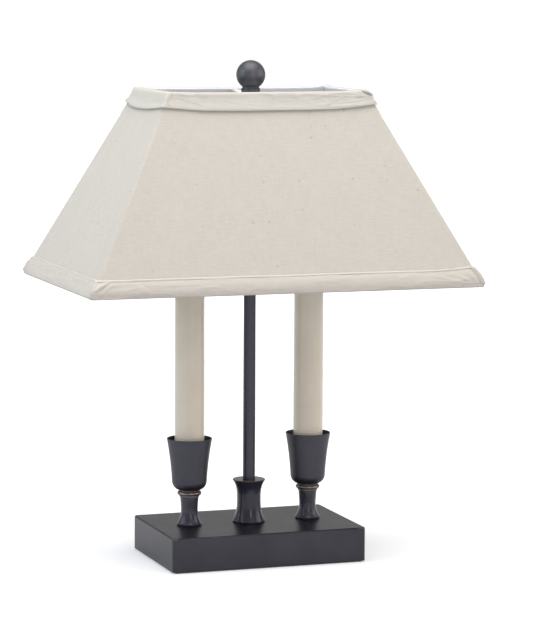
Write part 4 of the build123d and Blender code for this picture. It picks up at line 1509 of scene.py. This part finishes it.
@dataclass
class Studio:
    """Plain pale floor, soft lights, white background and the camera."""

    camera_place: Place = (-0.986, -2.861, 0.619)
    yaw: float = 19.347
    pitch: float = 6.781
    roll: float = -0.306
    lens: float = 169.7
    ambient: float = 0.5
    mirrored: float = 0.6
    floor_radius: float = 9.0
    floor_light: Colour = (0.52, 0.52, 0.52)
    floor_seen: Colour = (0.9, 0.9, 0.9)
    lights: tuple[SoftLight, ...] = (
        SoftLight("overhead_softbox", (-0.12, -0.2, 1.6), 1.4, 1.4, 18.2, (1.0, 0.99, 0.97), (0.0, 0.0, 0.5)),
        SoftLight("front_panel", (0.7, -3.0, 2.2), 2.6, 1.8, 7.0, (1.0, 0.90, 0.80)),
        SoftLight("front_softbox", (0.0, -2.7, 0.72), 0.36, 1.2, 9.3, (0.74, 0.76, 1.0), (0.0, 0.0, 0.4)),
        SoftLight("left_window", (-2.3, 0.2, 1.15), 2.0, 1.8, 22.6, (0.70, 0.84, 1.0), (0.0, 0.0, 0.4)),
        SoftLight("right_fill", (2.4, -1.0, 1.0), 1.9, 1.6, 18.4, (1.0, 0.97, 0.94)),
    )

    def build_camera(self) -> None:
        """Puts the camera where the photograph was taken from."""
        data = bpy.data.cameras.new("photograph_camera")
        data.sensor_fit = "AUTO"
        data.sensor_width = 36.0
        data.lens = self.lens
        data.clip_start, data.clip_end = 0.05, 50.0
        camera = bpy.data.objects.new("photograph_camera", data)
        yaw, pitch, roll = (math.radians(angle) for angle in (self.yaw, self.pitch, self.roll))
        forward = Vector((math.sin(yaw) * math.cos(pitch), math.cos(yaw) * math.cos(pitch), -math.sin(pitch)))
        right = Vector((math.cos(yaw), -math.sin(yaw), 0.0))
        down = forward.cross(right)
        rolled_right = right * math.cos(roll) + down * math.sin(roll)
        rolled_up = right * math.sin(roll) - down * math.cos(roll)
        turn = Matrix((rolled_right, rolled_up, -forward)).transposed()
        camera.location = self.camera_place
        camera.rotation_euler = turn.to_euler()
        bpy.context.scene.collection.objects.link(camera)
        bpy.context.scene.camera = camera

    def seen(self, w: Wiring, *rays: str) -> Socket:
        """Tells rays apart.

        Args:
            w: The shader's wiring.
            rays: Kinds of ray, as the Light Path node names them.

        Returns:
            1 for these kinds of ray, and else 0.
        """
        path = w.node("ShaderNodeLightPath").outputs
        seen = path[rays[0]]
        for ray in rays[1:]:
            seen = w.math("MAXIMUM", seen, path[ray])
        return seen

    def build_world(self) -> None:
        """Makes a surround that lights the lamp from all round and shows as white."""
        world = bpy.data.worlds.new("white_surround")
        world.use_nodes = True
        bpy.context.scene.world = world
        w = Wiring(world.node_tree)
        strength = w.between(self.seen(w, "Is Glossy Ray"), 0.0, 1.0, self.ambient, self.mirrored)
        light = w.result("ShaderNodeBackground", {"Color": WHITE, "Strength": strength})
        shown = w.result("ShaderNodeBackground", {"Color": WHITE, "Strength": 1.0})
        mixed = {0: self.seen(w, "Is Camera Ray", "Is Transmission Ray"), 1: light, 2: shown}
        w.node("ShaderNodeOutputWorld", {"Surface": w.result("ShaderNodeMixShader", mixed)})

    def build_floor(self) -> None:
        """Makes the pale floor, which keeps the lamp's shadow and fades to white far away."""
        deselect_all()
        bpy.ops.mesh.primitive_circle_add(
            vertices=96, radius=self.floor_radius, fill_type="NGON", location=(0.0, 0.0, 0.0)
        )
        floor = bpy.context.object
        floor.name = "studio_floor"
        material = bpy.data.materials.new("pale_floor")
        material.use_nodes = True
        w = Wiring(material.node_tree)
        place = w.node("ShaderNodeTexCoord").outputs["Object"]
        away = w.node("ShaderNodeVectorMath", {0: place}, operation="LENGTH").outputs["Value"]
        glow = {"Color": WHITE, "Strength": w.between(away, 0.7, 2.4, 0.3, 1.0)}
        pale = w.result("ShaderNodeBsdfDiffuse", {"Color": self.floor_seen})
        lifted = w.result("ShaderNodeAddShader", {0: pale, 1: w.result("ShaderNodeEmission", glow)})
        plain = w.result("ShaderNodeBsdfDiffuse", {"Color": self.floor_light})
        mixed = {0: self.seen(w, "Is Camera Ray", "Is Glossy Ray", "Is Transmission Ray"), 1: plain, 2: lifted}
        w.node("ShaderNodeOutputMaterial", {"Surface": w.result("ShaderNodeMixShader", mixed)})
        floor.data.materials.append(material)

    def build(self) -> None:
        """Builds the studio round the lamp."""
        bpy.context.scene.view_settings.view_transform = "Standard"
        self.build_camera()
        self.build_world()
        self.build_floor()
        for light in self.lights:
            light.build()
        LOG.info("studio: %d softboxes", len(self.lights))


def dress_shade(effects: Effects) -> None:
    """Makes every cloth piece of the shade.

    Args:
        effects: The shared shader groups.
    """
    facing = (0.80, 0.812, 0.815)
    linen = ClothFinish("linen", (0.643, 0.601, 0.534), (0.585, 0.544, 0.477), (0.35, 0.29, 0.22))
    # Painted shade: the top band is the same linen as the panels, coloured darker because its upturned roll catches
    # more of the overhead light.
    shaded_top_linen = ClothFinish(
        "linen_top_band",
        (0.595, 0.568, 0.508),
        (0.556, 0.528, 0.467),
        (0.42, 0.36, 0.27),
        flecks=0.2,
        relief=0.00018,
        facing=facing,
    )
    bottom_linen = ClothFinish(
        "linen_bottom_band",
        (0.640, 0.594, 0.528),
        (0.596, 0.549, 0.484),
        (0.42, 0.35, 0.26),
        flecks=0.2,
        relief=0.00018,
        facing=facing,
        # Painted highlight on the welted seam: the same linen, coloured lighter.
        welt_highlight=(0.68, 0.644, 0.58),
    )
    white = ClothFinish(
        "lining_cloth", (0.88, 0.90, 0.92), (0.82, 0.84, 0.86), (0.7, 0.7, 0.7), 0.0004, flecks=0.0, relief=0.00005
    )
    shade = Shade()
    material = linen.build(effects)
    for side in Side:
        shade.panel(side, material)
    shade.lining(white.build(effects))
    top_band(shade).build(shaded_top_linen.build(effects))
    bottom_band(shade).build(bottom_linen.build(effects))


def main() -> None:
    """Builds the studio, paints the solids and dresses the shade."""
    logging.basicConfig(level=logging.INFO, format="%(message)s")
    effects = Effects()
    Studio().build()
    Stand(effects).build()
    felt = FeltFinish("green_felt", (0.06, 0.1, 0.07), (0.035, 0.065, 0.042))
    BaseFelt().build(felt.build(effects))
    dress_shade(effects)


if __name__ == "__main__":
    main()
